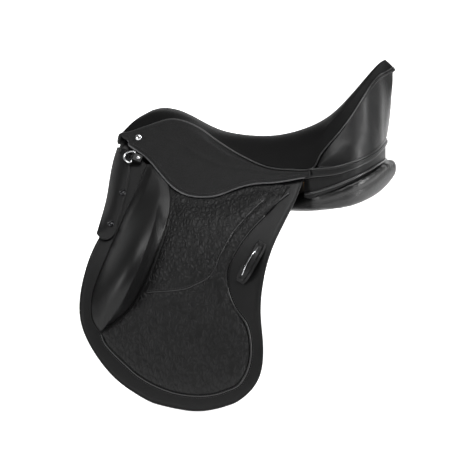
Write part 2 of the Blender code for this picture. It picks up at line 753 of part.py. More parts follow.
def girth_web(tag, side, place, x):
    """The woven band on the tree's rail that the girth strap is stitched to."""
    centre, half = x * ALONG, GIRTH_STRAP_WIDTH / 2
    z = np.array([56.0, 43.0, 30.0]) * ABOVE
    columns = np.array([centre - half, centre, centre + half])
    grid = np.stack(np.meshgrid(columns, z), axis=-1)
    inner = -TREE_SET + SHEET_GAP
    return sheet(f"girth_web_{place}_{tag}", grid, side, skirt_face, inner + GIRTH_WEB, inner, webbing())


def strap_face(x, z, centre):
    """Half-width of a strap's outer face: along the flap at the top, then straight down."""
    start, low = STRAP_STRAIGHT * BELOW, STRAP_END * BELOW
    inset = FLAP_LEATHER + STRAP_ROOM
    lean = (flap_face(centre, low) - flap_face(centre, start)) / (low - start)
    slope = flap_face(centre + 1, start) - flap_face(centre, start)
    straight = flap_face(centre, start) + lean * (z - start) + slope * (x - centre) - inset
    return np.where(z < start, straight + 0.5, flap_face(x, z) - inset)


def girth_strap(tag, side, place, x):
    centre, half, hole = x * ALONG, GIRTH_STRAP_WIDTH / 2, PUNCH_HOLE / 2
    top, end = STRAP_TOP * ABOVE, STRAP_END * BELOW
    first_hole = end + 22.0
    heights = list(np.linspace(top, STRAP_STRAIGHT * BELOW, 7))
    holes = [first_hole + PUNCH_PITCH * k for k in (3, 2, 1, 0)]
    for height in holes:
        heights += [height + hole, height - hole]
    heights += [end + 8, end]
    columns = np.array([-half, -hole, hole, half])
    rows = []
    for height in heights:
        width = columns * (0.62 if height == end else 1.0)
        rows.append([(centre + w, height) for w in width])
    grid = np.array(rows)
    filled = np.ones((len(heights) - 1, 3), bool)
    for k in range(len(holes)):
        filled[7 + 2 * k, 1] = False
    outer = np.stack([grid[..., 0], side * strap_face(grid[..., 0], grid[..., 1], centre), grid[..., 1]], axis=-1)
    inner = outer - np.array([0, side * GIRTH_STRAP_LEATHER, 0])
    pivot = np.array([centre, side * strap_face(centre, top - 6, centre), top - 6])
    return slab(f"girth_strap_{place}_{tag}", outer, inner, bridle_leather(), filled, pivot)


# ---------------------------------------------------------------- front strap, screws and keeper

STRAP_FRONT_EDGE = ((-209, 111), (-216, 88), (-221, 60), (-226, 24), (-233, -5), (-241, -34))
STRAP_REAR_EDGE = ((-192, 107), (-186, 80), (-189, 50), (-197, 12), (-208, -27))
STRAP_FOOT = ((-241, -34), (-234, -43), (-223, -45), (-212, -38), (-208, -27))
STRAP_ROLL = 13.0  # how far the strap's front edge curves in round the front
ROLL_WIDTH = 18.0


def front_strap(tag, side):
    front, rear, foot = (drawn(edge) for edge in (STRAP_FRONT_EDGE, STRAP_REAR_EDGE, STRAP_FOOT))
    grid = patch(front, rear, [front[0], rear[0]], foot, 10, 6)
    x, z = grid[..., 0], grid[..., 1]
    edge = grid[:, :1, 0]
    roll = STRAP_ROLL * np.clip(1 - (x - edge) / ROLL_WIDTH, 0, 1) ** 2
    roll = roll * smoothstep((z / BELOW + 22) / 25)
    half = flap_face(x, z) + SHEET_GAP - roll
    outer = np.stack([x, side * (half + FRONT_STRAP_LEATHER), z], axis=-1)
    inner = np.stack([x, side * half, z], axis=-1)
    return slab("front_strap_" + tag, outer, inner, smooth_leather())


FLAP_SCREWS = (("upper", -198, 33), ("lower", -217, -19))


def flap_screw(tag, side, place, x, z):
    spot = drawn([(x, z)])[0]
    frame = Frame(spot[0], spot[1], side, TOUCH, lambda a, b: flap_face(a, b) + SHEET_GAP + FRONT_STRAP_LEATHER)
    return dome(f"flap_screw_{place}_{tag}", frame, SCREW_RADIUS, 2.4, 1.0, 16, black_metal())


KEEPER_CENTRE = (18.5, -81)
KEEPER_LEAN = math.radians(60)


def leather_keeper(tag, side):
    """The raised loop on the flap's rear that holds the end of the stirrup leather."""
    centre = drawn([KEEPER_CENTRE])[0]
    along = np.array([math.cos(KEEPER_LEAN), math.sin(KEEPER_LEAN)])
    across = np.array([math.sin(KEEPER_LEAN), -math.cos(KEEPER_LEAN)])
    share = np.array([-1, -0.78, -0.62, -0.4, 0, 0.4, 0.62, 0.78, 1])
    width = np.array([0.7, 1, 1, 1, 1, 1, 1, 1, 0.7])
    arch = KEEPER_GAP * np.array([0, 0, 0.55, 1, 1, 1, 0.55, 0, 0])
    rows = []
    for s, w in zip(share, width):
        middle = centre + along * s * KEEPER_LENGTH / 2
        rows.append([middle + across * KEEPER_WIDTH / 2 * w * t for t in (-1, 0, 1)])
    grid = np.array(rows)
    x, z = grid[..., 0], grid[..., 1]
    half = flap_face(x, z) + TOUCH + arch[:, None]
    outer = np.stack([x, side * (half + KEEPER_LEATHER), z], axis=-1)
    inner = np.stack([x, side * half, z], axis=-1)
    return slab("leather_keeper_" + tag, outer, inner, smooth_leather())


# ---------------------------------------------------------------- skirts

SKIRT_SEAM = (
    (-198, 134), (-175, 140), (-145, 150), (-121, 159), (-105, 159), (-78, 148), (-59, 137), (-40, 123),
    (-12, 104), (10, 93), (44, 78), (84, 73), (104, 72.5), (118, 73),
)
SKIRT_EDGE = (
    (-188, 114), (-172, 103), (-154, 89), (-131, 62), (-110, 41), (-88, 30), (-62, 27), (-36, 30),
    (-5, 42), (24, 49), (54, 51), (80, 54.5), (100, 58.5),
)


def skirt_top(tag, side):
    """The fixed strip of the skirt, stitched to the seat above and carrying the lower skirt."""
    seam = drawn(SKIRT_SEAM)
    top = evenly(seam, 20) - [0, 1.5 * SEAM_GAP]
    corner = drawn([(-199, 126)])[0]
    low = np.stack([top[:, 0], hinge_height(top[:, 0]) + PIVOT_GAP + 0.1], axis=1)
    low[0] = corner
    end = drawn([(118, 61.5)])[0]
    low[-1] = (end[0], max(end[1], low[-1, 1]))
    grid = np.stack([top, (top + low) / 2, low])
    x, z = grid[..., 0], grid[..., 1]
    half = skirt_top_face(x, z)
    outer = np.stack([x, side * half, z], axis=-1)
    inner = np.stack([x, side * (half - SKIRT_LEATHER), z], axis=-1)
    return slab("skirt_top_" + tag, outer, inner, grained_leather())


def skirt(tag, side):
    """The lifting part of the skirt, its origin on the hinge line."""
    edge = evenly(drawn(SKIRT_EDGE), 20)
    top = np.stack([edge[:, 0], hinge_height(edge[:, 0])], axis=1)
    grid = np.stack([top + (edge - top) * t for t in (0, 0.33, 0.66, 1)])
    x, z = grid[..., 0], grid[..., 1]
    half = skirt_face(x, z)
    outer = np.stack([x, side * half, z], axis=-1)
    inner = np.stack([x, side * (half - SKIRT_LEATHER), z], axis=-1)
    return slab("skirt_" + tag, outer, inner, grained_leather(), origin=HINGE_FRONT * [1, side, 1])


def crown_nail(tag, side):
    spot = drawn([(-172, 127)])[0]
    frame = Frame(spot[0], spot[1], side, TOUCH / 2, skirt_top_face)
    return dome("crown_nail_" + tag, frame, NAIL_RADIUS, 3.6, 0.8, 20, steel())


# ---------------------------------------------------------------- D-ring, chape and rivet

CHAPE_FOLD = D_WIRE_RADIUS + PIVOT_GAP + 0.1
CHAPE_REACH = 15.0


def d_frame(side):
    """The D-ring's bar: x back along the skirt, n out, h up the bar."""
    spot = drawn([(-180, 91)])[0]
    base = Frame(spot[0], spot[1], side, 0, lambda a, b: flap_face(a, b) + SHEET_GAP + FRONT_STRAP_LEATHER)
    return base.moved(0, TOUCH + CHAPE_FOLD + CHAPE_LEATHER, 0)


def d_ring(tag, side):
    """A flat-backed ring: a straight bar at the rear and a round loop to the front."""
    frame = d_frame(side)
    half = D_HEIGHT / 2
    corner = 4.0
    bow = [(-D_DEPTH * math.sin(math.radians(a)) * 1.0, half * math.cos(math.radians(a))) for a in range(18, 163, 12)]
    start = [(0, -half + corner), (0, 0), (0, half - corner)]
    turn = [(-corner * 0.25, half - corner * 0.25), (-corner * 0.9, half)]
    path = start + turn + bow[1:-1] + [(x, -h) for x, h in turn[::-1]]
    points = [frame.at(x, 0, h) for x, h in path]
    return ring_tube("d_ring_" + tag, points, D_WIRE_RADIUS, 8, steel(), frame.at(0, 0, 0))


def d_ring_chape(tag, side):
    """The leather tab folded round the D-ring's bar."""
    frame = d_frame(side)
    reach = CHAPE_FOLD + CHAPE_LEATHER
    count = 12
    outline, hole = [], []
    for k in range(count):
        turn = 2 * math.pi * (k + 0.5) / count
        c, s = math.cos(turn), math.sin(turn)
        hole.append((CHAPE_FOLD * c, CHAPE_FOLD * s))
        outline.append((reach * c, reach * s))
    outline[0], outline[-1] = (CHAPE_REACH, -reach + 3.6), (CHAPE_REACH, -reach)
    outline[1], outline[-2] = (CHAPE_REACH * 0.5, reach * 0.62), (CHAPE_REACH * 0.5, -reach)
    outline[2], outline[-3] = (reach * 0.5, reach * 0.97), (reach * 0.5, -reach)
    return extrusion("d_ring_chape_" + tag, outline, -CHAPE_WIDTH / 2, CHAPE_WIDTH / 2, frame, bridle_leather(), hole)


def chape_rivet(tag, side):
    reach = CHAPE_FOLD + CHAPE_LEATHER
    frame = d_frame(side).moved(9.5, 0, 0)
    start, end = (CHAPE_REACH * 0.5, reach * 0.62), (CHAPE_REACH, -reach + 3.6)
    slope = (end[1] - start[1]) / (end[0] - start[0])
    tilted = frame.moved(0, start[1] + slope * (9.5 - start[0]), 0)
    lean = math.atan(slope)
    tilted.x, tilted.n = (
        frame.x * math.cos(lean) + frame.n * math.sin(lean),
        frame.n * math.cos(lean) - frame.x * math.sin(lean),
    )
    tilted.centre = tilted.centre + tilted.n * TOUCH / 2
    return dome("chape_rivet_" + tag, tilted, RIVET_RADIUS, 1.8, 0.5, 14, steel())


# ---------------------------------------------------------------- stirrup bar

BAR_EYE = 5.0
BAR_TOP = -SKIRT_LEATHER / SKIRT_REACH - BAR_UNDER_SKIRT
PLATE_FACE = BAR_TOP - BAR_BLADE - BAR_LEATHER_GAP
PLATE_BACK = PLATE_FACE - BAR_PLATE


def bar_frame(side):
    """Midway along the stirrup bar: x along it, n = 0 on the skirt's outer face, h up the skirt."""
    x = -66.0 * ALONG
    z = hinge_height(x)
    return Frame(x, z - 0.01, side).moved(0, 0, -BAR_BELOW_HINGE)


def stirrup_bar(tag, side):
    """A plate on the tree, an arm at its front and a blade back along the skirt, open at the rear."""
    frame = bar_frame(side)
    front, rear = -BAR_LENGTH / 2, BAR_LENGTH / 2
    arm = 8.0
    blade_end = rear - 8.0
    round_end = BAR_BLADE / 2
    eye = PLATE_BACK + BAR_EYE
    outline = [
        (front + 2, PLATE_BACK), (rear + BAR_EYE - 2, PLATE_BACK), (rear + BAR_EYE, PLATE_BACK + 2),
        (rear + BAR_EYE, eye + 3), (rear + BAR_EYE - 2.5, eye + BAR_EYE), (rear - BAR_EYE + 2.5, eye + BAR_EYE),
        (rear - BAR_EYE - 1, PLATE_FACE), (front + arm, PLATE_FACE), (front + arm, BAR_TOP - BAR_BLADE),
        (blade_end - 1, BAR_TOP - BAR_BLADE), (blade_end, BAR_TOP - round_end - 1.2),
        (blade_end, BAR_TOP - 1.3), (blade_end - 1, BAR_TOP), (front + 2.5, BAR_TOP), (front, BAR_TOP - 2.5),
        (front, PLATE_BACK + 2),
    ]
    bar = extrusion("stirrup_bar_" + tag, outline, -BAR_HEIGHT / 2, BAR_HEIGHT / 2, frame, steel())
    slot_low, slot_high = rear - BAR_EYE - 2.4, rear + BAR_EYE + 4
    slot = [(slot_low, PLATE_BACK + 1.6), (slot_high, PLATE_BACK + 1.6), (slot_high, BAR_TOP), (slot_low, BAR_TOP)]
    gap = CATCH_HEIGHT / 2 + 0.4
    cut(bar, extrusion("catch_slot_" + tag, slot, -gap, gap, frame, steel()))
    pin_bore = cylinder("pin_bore_" + tag, pin_frame(side), CATCH_PIN_RADIUS + PIVOT_GAP + 0.05, -20, 20, 16, steel())
    cut(bar, pin_bore)
    return bar


def pin_frame(side):
    return bar_frame(side).moved(BAR_LENGTH / 2, PLATE_BACK + BAR_EYE + 0.6, 0)


def safety_catch(tag, side):
    """The thumb catch that closes the bar's open end and swings back to let the leather go."""
    frame = pin_frame(side)
    count = 12
    bore = CATCH_PIN_RADIUS + PIVOT_GAP + 0.05
    tip = BAR_TOP - (PLATE_BACK + BAR_EYE + 0.6)
    hole = [(bore * math.cos(2 * math.pi * k / count), bore * math.sin(2 * math.pi * k / count)) for k in range(count)]
    ring = 3.2
    outline = [(ring * math.cos(2 * math.pi * k / count), ring * math.sin(2 * math.pi * k / count)) for k in range(count)]
    outline[1], outline[2] = (3.0, tip - 1.5), (1.8, tip)
    outline[3], outline[4] = (-1.6, tip), (-2.8, tip - 1.5)
    outline[5] = (-3.0, 2.0)
    return extrusion(
        "safety_catch_" + tag, outline, -CATCH_HEIGHT / 2, CATCH_HEIGHT / 2, frame, steel(), hole, frame.at(0, 0, 0)
    )


def catch_pin(tag, side):
    reach = BAR_HEIGHT / 2 + 0.6
    return cylinder("catch_pin_" + tag, pin_frame(side), CATCH_PIN_RADIUS, -reach, reach, 14, steel())


# ---------------------------------------------------------------- the whole saddle


def build():
    for thing in list(bpy.data.objects):
        bpy.data.objects.remove(thing)
    grid = seat_grid()
    seat_cover(grid)
    seat_foam(grid)
    seat_webbing(grid)
    saddle_tree(grid)
    gullet_plate(grid)
    cantle_panel()
    for tag, side in SIDES:
        spring(grid, tag, side)
        rear_gusset(tag, side)
        panel(tag, side)
        flap(tag, side)
        flap_insert(tag, side)
        thigh_block(tag, side)
        under_flap(tag, side)
        front_strap(tag, side)
        leather_keeper(tag, side)
        skirt_top(tag, side)
        skirt(tag, side)
        crown_nail(tag, side)
        d_ring(tag, side)
        d_ring_chape(tag, side)
        chape_rivet(tag, side)
        stirrup_bar(tag, side)
        safety_catch(tag, side)
        catch_pin(tag, side)
        for place, x, z in FLAP_SCREWS:
            flap_screw(tag, side, place, x, z)
        for place, x in GIRTHS:
            girth_web(tag, side, place, x)
            girth_strap(tag, side, place, x)


build()
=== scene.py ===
# %% [markdown]
# # Dressing an English saddle
#
# The frame holds every part of a monoflap dressage saddle at its real size. This script gives the
# parts their leather, padding, seams, stitching and metal, and lights them.
#
# A saddle could be sculpted as one shape, but a saddler cuts flat hides, skives their edges, rolls
# them over cord and stitches them. So each piece here starts from its own part, gets its edges
# rounded, and then gets its seams laid on it in the order in which they are sewn.

import json
import math

import bmesh
import bpy
import numpy as np
from mathutils import Matrix, Vector, noise
from mathutils.bvhtree import BVHTree
from mathutils.kdtree import KDTree

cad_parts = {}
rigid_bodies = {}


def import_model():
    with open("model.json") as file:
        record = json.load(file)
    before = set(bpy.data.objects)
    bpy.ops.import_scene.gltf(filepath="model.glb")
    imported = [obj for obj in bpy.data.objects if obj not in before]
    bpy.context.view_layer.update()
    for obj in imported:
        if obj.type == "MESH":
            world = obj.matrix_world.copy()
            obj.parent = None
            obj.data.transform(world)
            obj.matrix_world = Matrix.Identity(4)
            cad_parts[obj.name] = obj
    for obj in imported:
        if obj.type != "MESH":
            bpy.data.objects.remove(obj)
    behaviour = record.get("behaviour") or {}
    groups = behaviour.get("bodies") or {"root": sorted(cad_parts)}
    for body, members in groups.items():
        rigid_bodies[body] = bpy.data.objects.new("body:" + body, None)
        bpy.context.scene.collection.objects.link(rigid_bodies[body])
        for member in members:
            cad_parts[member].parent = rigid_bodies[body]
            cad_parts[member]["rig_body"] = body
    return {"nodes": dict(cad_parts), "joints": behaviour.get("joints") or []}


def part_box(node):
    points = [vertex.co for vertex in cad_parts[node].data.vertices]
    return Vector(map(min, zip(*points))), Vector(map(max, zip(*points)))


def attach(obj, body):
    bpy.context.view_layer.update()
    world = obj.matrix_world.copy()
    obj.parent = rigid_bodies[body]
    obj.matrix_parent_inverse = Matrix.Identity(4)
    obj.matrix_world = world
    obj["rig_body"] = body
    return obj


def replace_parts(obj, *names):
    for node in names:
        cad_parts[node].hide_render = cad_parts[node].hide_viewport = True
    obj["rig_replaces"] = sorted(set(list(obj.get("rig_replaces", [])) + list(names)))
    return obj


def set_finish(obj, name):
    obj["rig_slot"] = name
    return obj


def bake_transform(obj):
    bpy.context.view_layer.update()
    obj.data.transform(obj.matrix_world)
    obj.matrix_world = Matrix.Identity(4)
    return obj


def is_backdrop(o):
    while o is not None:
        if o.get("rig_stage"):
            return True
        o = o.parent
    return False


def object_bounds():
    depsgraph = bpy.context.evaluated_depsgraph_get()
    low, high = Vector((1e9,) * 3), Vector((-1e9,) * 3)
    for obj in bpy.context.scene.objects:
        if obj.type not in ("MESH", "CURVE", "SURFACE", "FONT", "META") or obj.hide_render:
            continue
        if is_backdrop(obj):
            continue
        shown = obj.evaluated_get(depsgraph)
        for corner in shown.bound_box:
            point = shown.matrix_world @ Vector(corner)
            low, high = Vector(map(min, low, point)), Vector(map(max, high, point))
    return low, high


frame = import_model()
nodes = frame["nodes"]
size_of_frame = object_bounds()
MM = 0.001
ROOT = "seat_and_flaps"
OTHER_SIDE = np.array([1, -1, 1])
print(len(nodes), "parts in the frame")

# %% [markdown]
# ## Colours and shader nodes
#
# Colours are chosen as sRGB hex codes, and one function turns them into the linear numbers that the
# shader wants. Another adds a node, sets it up and links it, so each material reads as a recipe.


# %% small tools for materials
def srgb(code):
    parts = [int(code[k : k + 2], 16) / 255 for k in (1, 3, 5)]
    return tuple(c / 12.92 if c <= 0.04045 else ((c + 0.055) / 1.055) ** 2.4 for c in parts) + (1.0,)


def add(tree, kind, links=None, **settings):
    """Adds a node. links names its sockets by the value or the other node's socket that feeds them."""
    node = tree.nodes.new("ShaderNode" + kind)
    for key, value in settings.items():
        setattr(node, key, value)
    fill(tree, node, links or {})
    return node


def fill(tree, node, values):
    for name, value in values.items():
        if isinstance(value, bpy.types.NodeSocket):
            tree.links.new(value, node.inputs[name])
        else:
            node.inputs[name].default_value = value


def blank(name):
    made = bpy.data.materials.new(name)
    made.use_nodes = True
    tree = made.node_tree
    return made, tree, tree.nodes["Principled BSDF"]


def between(tree, factor, low, high):
    """Turns a factor from 0 to 1 into a value from low to high."""
    return add(tree, "MapRange", {"Value": factor, "To Min": low, "To Max": high}).outputs[0]


# %% [markdown]
# ## Leather
#
# Leather's look is its grain: cells of raised skin with fine creases between them. A Voronoi
# pattern gives the cells, and a little noise bends them so that they don't look like tiles. A
# scanned hide would be closer to one skin, but a pattern runs over every seam without stretching
# and needs no unwrapping. The creases gather wax and dirt, so they are rougher than the cells.
#
# Smooth calf has a grain of about 0.6 mm, printed leather about 2 mm and shrunken leather 6 mm.
# The seat is rubbed matt by riding and mirrors the least; glazed panel hide and piping mirror more.


# %% leather
def leather(name, colour, rough, cell, height, wrinkle=0.0, shine=0.0, drawn=1.0, mirror=0.22):
    """Grained hide.

    cell is the grain's size, height its depth and wrinkle the depth of wider folds, in millimetres.
    drawn stretches the cells up the piece, shine is a coat of wax and mirror the bare hide's gloss.
    """
    made, tree, shader = blank(name)
    place = add(tree, "TexCoord").outputs["Object"]
    if drawn != 1:
        lean = {"Vector": place, "Scale": (1.0, 1.0, 1 / drawn), "Rotation": (0.0, 0.25, 0.0)}
        place = add(tree, "Mapping", lean).outputs[0]
    bend = add(tree, "TexNoise", {"Vector": place, "Scale": 0.45 / (cell * MM), "Detail": 3.0})
    shift = add(tree, "VectorMath", {0: bend.outputs["Color"], 1: (0.5, 0.5, 0.5)}, operation="SUBTRACT")
    bent = add(tree, "VectorMath", {0: shift.outputs[0], "Scale": cell * MM * 1.4}, operation="SCALE")
    spot = add(tree, "VectorMath", {0: place, 1: bent.outputs[0]}, operation="ADD").outputs[0]
    grain = add(tree, "TexVoronoi", {"Vector": spot, "Scale": 1 / (cell * MM)}, feature="DISTANCE_TO_EDGE")
    domes = {"Value": grain.outputs["Distance"], "From Max": 0.32}
    cells = add(tree, "MapRange", domes, interpolation_type="SMOOTHSTEP").outputs[0]
    pores = add(tree, "TexNoise", {"Vector": place, "Scale": 2200.0, "Detail": 2.0})
    mixed = add(tree, "Math", {0: pores.outputs["Fac"], 1: 0.18, 2: cells}, operation="MULTIPLY_ADD")
    fine = add(tree, "Bump", {"Height": mixed.outputs[0], "Distance": height * MM, "Strength": 1.0})
    normal = fine.outputs[0]
    if wrinkle:
        upright = add(tree, "Mapping", {"Vector": place, "Scale": (1.0, 1.0, 0.45)}).outputs[0]
        folds = add(tree, "TexNoise", {"Vector": upright, "Scale": 42.0, "Detail": 4.0, "Distortion": 1.2})
        deep = {"Height": folds.outputs["Fac"], "Distance": wrinkle * MM, "Normal": normal}
        normal = add(tree, "Bump", deep).outputs[0]
    worn = add(tree, "TexNoise", {"Vector": place, "Scale": 30.0, "Detail": 5.0})
    gloss = between(tree, worn.outputs["Fac"], rough - 0.06, rough + 0.08)
    dull = add(tree, "Math", {0: cells, 1: -0.10, 2: gloss}, operation="MULTIPLY_ADD", use_clamp=True)
    tint = add(tree, "MixRGB", {"Fac": cells, "Color1": srgb("#060606"), "Color2": srgb(colour)})
    fill(tree, shader, {
        "Base Color": tint.outputs[0], "Roughness": dull.outputs[0], "Normal": normal, "IOR": 1.5,
        "Specular IOR Level": mirror, "Coat Weight": shine, "Coat Roughness": 0.28,
    })
    return made


calf = leather("waxed smooth calf, black", "#0c0c0d", 0.48, 0.6, 0.04, shine=0.08)
seat_calf = leather("soft seat calf, black", "#050506", 0.60, 0.7, 0.05, mirror=0.10)
block_calf = leather("soft calf over foam, black", "#0a0a0b", 0.42, 0.7, 0.04, wrinkle=0.25, shine=0.12)
printed = leather("pebble-printed cowhide, black", "#0e0e0f", 0.52, 2.2, 0.30, shine=0.05)
shrunken = leather("shrunken-grain bull hide, black", "#0e0e0f", 0.50, 6.5, 0.9,
                   wrinkle=0.3, shine=0.06, drawn=1.9)
panel_hide = leather("glazed panel hide, black", "#0c0c0c", 0.34, 0.8, 0.04,
                     wrinkle=0.12, shine=0.25, mirror=0.4)
# The piping is a lighter grey than the black hide: a painted highlight along the welts.
piping_highlit_hide = leather("rolled calf piping, black", "#1c1c1d", 0.36, 0.6, 0.03, shine=0.35, mirror=0.5)
# The rolled edge's hide is grey, far lighter than the black skirt: a painted highlight along the edge.
grey_highlight_hide = leather("rolled edge, grey painted highlight", "#606062", 0.34, 0.6, 0.03, shine=0.35, mirror=0.5)
bridle = leather("dyed bridle leather, black", "#0b0b0c", 0.46, 0.9, 0.04, shine=0.10)
print(len(bpy.data.materials), "leathers")

# %% [markdown]
# ## Cut edges and thread
#
# The edge of a strap shows the hide's fibres. A saddler dyes it, rubs it with wax and burnishes it
# until it shines more than the grain side. Here its colour is also lighter than the black grain side,
# a painted highlight. Thread is waxed polyester, with a soft shine.


# %% edge and thread
def streaked(name, colour, rough, scale, squeeze, height, metallic=0.0, coat=0.0):
    """A surface with fine lines, or specks where squeeze is even: cut edges, metal, wood, web, thread."""
    made, tree, shader = blank(name)
    place = add(tree, "TexCoord").outputs["Object"]
    along = add(tree, "Mapping", {"Vector": place, "Scale": squeeze})
    lines = add(tree, "TexNoise", {"Vector": along.outputs[0], "Scale": scale, "Detail": 4.0})
    bump = add(tree, "Bump", {"Height": lines.outputs["Fac"], "Distance": height * MM})
    gloss = between(tree, lines.outputs["Fac"], rough - 0.05, rough + 0.07)
    fill(tree, shader, {
        "Base Color": srgb(colour), "Metallic": metallic, "Roughness": gloss, "Normal": bump.outputs[0],
        "IOR": 1.5, "Coat Weight": coat, "Coat Roughness": 0.15,
    })
    return made


EVEN = (1, 1, 1)
# The cut edge's grey is lighter than the dyed black hide: a painted highlight along every edge.
highlit_cut_edge = streaked("burnished leather edge, black", "#2a2a2c", 0.30, 900.0, (1, 1, 0.2), 0.05, coat=0.4)
thread = streaked("waxed polyester thread, black", "#141415", 0.45, 2500.0, EVEN, 0.05)
print("edge:", highlit_cut_edge.name, "thread:", thread.name)

# %% [markdown]
# ## Metal, wood, foam and web
#
# The D-rings and nails are polished stainless steel: it has no colour of its own, so it is pale grey
# and fully metallic with a low roughness. The tree is beech veneer glued in layers, painted steel
# plates strengthen it, and the bars are forged steel, blasted and waxed.

# %% metals and the materials inside the saddle
polished = streaked("polished stainless steel", "#c9cacc", 0.16, 1400.0, (1, 1, 0.3), 0.01, metallic=1.0)
blackened = streaked("black oxide steel screw", "#17171a", 0.18, 1500.0, EVEN, 0.02,
                     metallic=0.6, coat=0.2)
forged = streaked("forged steel, bead blasted", "#7d7e80", 0.42, 900.0, EVEN, 0.06, metallic=1.0)
painted = streaked("painted spring steel, black", "#222326", 0.38, 700.0, EVEN, 0.05,
                   metallic=0.2, coat=0.2)
beech = streaked("laminated beech, oiled", "#b98a58", 0.50, 260.0, (1, 1, 14), 0.10)
webbing = streaked("woven nylon web, dark", "#3a3732", 0.80, 700.0, (1, 1, 6), 0.40)
latex = leather("open-cell latex foam", "#cfc59f", 0.85, 1.6, 0.30)
print(len(bpy.data.materials), "materials")

# %% [markdown]
# ## Working on a part's own surface
#
# Each part is a thin slab with facets. Merging its corners, pairing its triangles into squares,
# rounding the sharp rim and subdividing gives the smooth leather that the facets stand for. Drawing
# every piece again by hand would let it drift from the part underneath; starting from the part
# keeps every fit.


# %% tools for shapes
def merged(node):
    shape = bmesh.new()
    shape.from_mesh(nodes[node].data)
    bmesh.ops.remove_doubles(shape, verts=shape.verts, dist=3e-6)
    bmesh.ops.join_triangles(shape, faces=shape.faces, angle_face_threshold=0.6, angle_shape_threshold=1.3)
    shape.normal_update()
    return shape


def is_rim(face, thick):
    """A slab's edge faces stand across it. On side pieces they hold the Y axis, elsewhere they are thin."""
    if thick is None:
        return abs(face.normal.y) < 0.03
    return min(edge.calc_length() for edge in face.edges) < 1.3 * thick * MM


def finish_mesh(name, mesh, looks, body, slot, *replaced):
    made = bpy.data.objects.new(name, mesh)
    for look in looks:
        mesh.materials.append(look)
    mesh.shade_smooth()
    bpy.context.scene.collection.objects.link(made)
    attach(made, body)
    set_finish(made, slot)
    if replaced:
        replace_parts(made, *replaced)
    return made


def smooth_copy(node, looks, slot, round_off=1.2, levels=2, thick=None, name=None):
    """The part again with a rounded rim, the rim in the second look."""
    shape = merged(node)
    for face in shape.faces:
        face.material_index = int(is_rim(face, thick)) if len(looks) > 1 else 0
    if round_off:
        sharp = [e for e in shape.edges if len(e.link_faces) == 2 and e.calc_face_angle() > 0.75]
        bmesh.ops.bevel(shape, geom=sharp, offset=round_off * MM, segments=2, profile=0.6,
                        affect="EDGES", clamp_overlap=True)
    mesh = bpy.data.meshes.new(name or node + "_piece")
    shape.to_mesh(mesh)
    shape.free()
    made = finish_mesh(name or node + "_piece", mesh, looks, nodes[node]["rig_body"], slot, node)
    subdivide(made, levels)
    return made


def apply_modifiers(thing):
    graph = bpy.context.evaluated_depsgraph_get()
    mesh = bpy.data.meshes.new_from_object(thing.evaluated_get(graph))
    thing.modifiers.clear()
    thing.data = mesh


def subdivide(thing, levels):
    if levels:
        turn = thing.modifiers.new("Subdivision", "SUBSURF")
        turn.levels = turn.render_levels = levels
        apply_modifiers(thing)
        thing.data.shade_smooth()


def points_of(thing):
    co = np.empty(len(thing.data.vertices) * 3, np.float32)
    thing.data.vertices.foreach_get("co", co)
    return co.reshape(-1, 3).astype(float)


def put_points(thing, points):
    thing.data.vertices.foreach_set("co", points.astype(np.float32).ravel())
    thing.data.update()


def normals_of(thing):
    n = np.empty(len(thing.data.vertices) * 3, np.float32)
    thing.data.vertex_normals.foreach_get("vector", n)
    return n.reshape(-1, 3).astype(float)


def box_of(node):
    """The low and high corner of a part, in millimetres."""
    low, high = (np.array(corner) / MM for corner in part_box(node))
    return low, high


def grid(rows, columns):
    return [(r * columns + c, r * columns + c + 1, (r + 1) * columns + c + 1, (r + 1) * columns + c)
            for r in range(rows - 1) for c in range(columns - 1)]


def strip(name, rows, thick):
    """A thin piece of calf through rows of points."""
    mesh = bpy.data.meshes.new(name)
    mesh.from_pydata(rows.reshape(-1, 3), [], grid(*rows.shape[:2]))
    made = finish_mesh(name, mesh, [calf], ROOT, "smooth_leather")
    thicken = made.modifiers.new("Leather", "SOLIDIFY")
    thicken.thickness, thicken.offset = thick * MM, 0.0
    apply_modifiers(made)
    made.data.shade_smooth()
    return made


# %% [markdown]
# Seams run along the edges of parts, so the script reads each slab's rim as an ordered loop and
# takes the stretch between two of its corners.


# %% tools for edges and lines
def rim_loop(node, thick=None, facing=(0, -1, 0)):
    """The outer rim of a slab as a closed loop of points."""
    shape = merged(node)
    facing = Vector(facing)
    skin = {f for f in shape.faces if not is_rim(f, thick) and f.normal.dot(facing) > 0}
    links = {}
    for edge in shape.edges:
        if sum(f in skin for f in edge.link_faces) == 1:
            a, b = edge.verts
            links.setdefault(a.index, []).append(b.index)
            links.setdefault(b.index, []).append(a.index)
    start = next(iter(links))
    loop, last = [start], None
    while len(loop) <= len(links) + 2:
        ahead = [k for k in links[loop[-1]] if k != last]
        last = loop[-1]
        if not ahead or ahead[0] == start:
            break
        loop.append(ahead[0])
    shape.verts.ensure_lookup_table()
    points = np.array([shape.verts[k].co for k in loop], float)
    shape.free()
    return points


def stretch(loop, start, end, longer=False):
    """The part of a closed loop between its points nearest to start and end, given in millimetres."""
    i, j = (int(np.argmin(np.linalg.norm(loop - np.array(p) * MM, axis=1))) for p in (start, end))
    count = len(loop)
    ahead = loop[[(i + k) % count for k in range((j - i) % count + 1)]]
    back = loop[[(i - k) % count for k in range((i - j) % count + 1)]]
    lengths = [np.linalg.norm(np.diff(p, axis=0), axis=1).sum() for p in (ahead, back)]
    return (ahead, back)[int(np.argmax(lengths)) if longer else int(np.argmin(lengths))]


def lengths_along(line):
    """How far each point of a line is from its start."""
    return np.concatenate([[0], np.cumsum(np.linalg.norm(np.diff(line, axis=0), axis=1))])


def resample(line, count):
    """The same line with count points, evenly apart."""
    far = lengths_along(line)
    where = np.linspace(0, far[-1], count)
    return np.stack([np.interp(where, far, line[:, k]) for k in range(3)], axis=1)


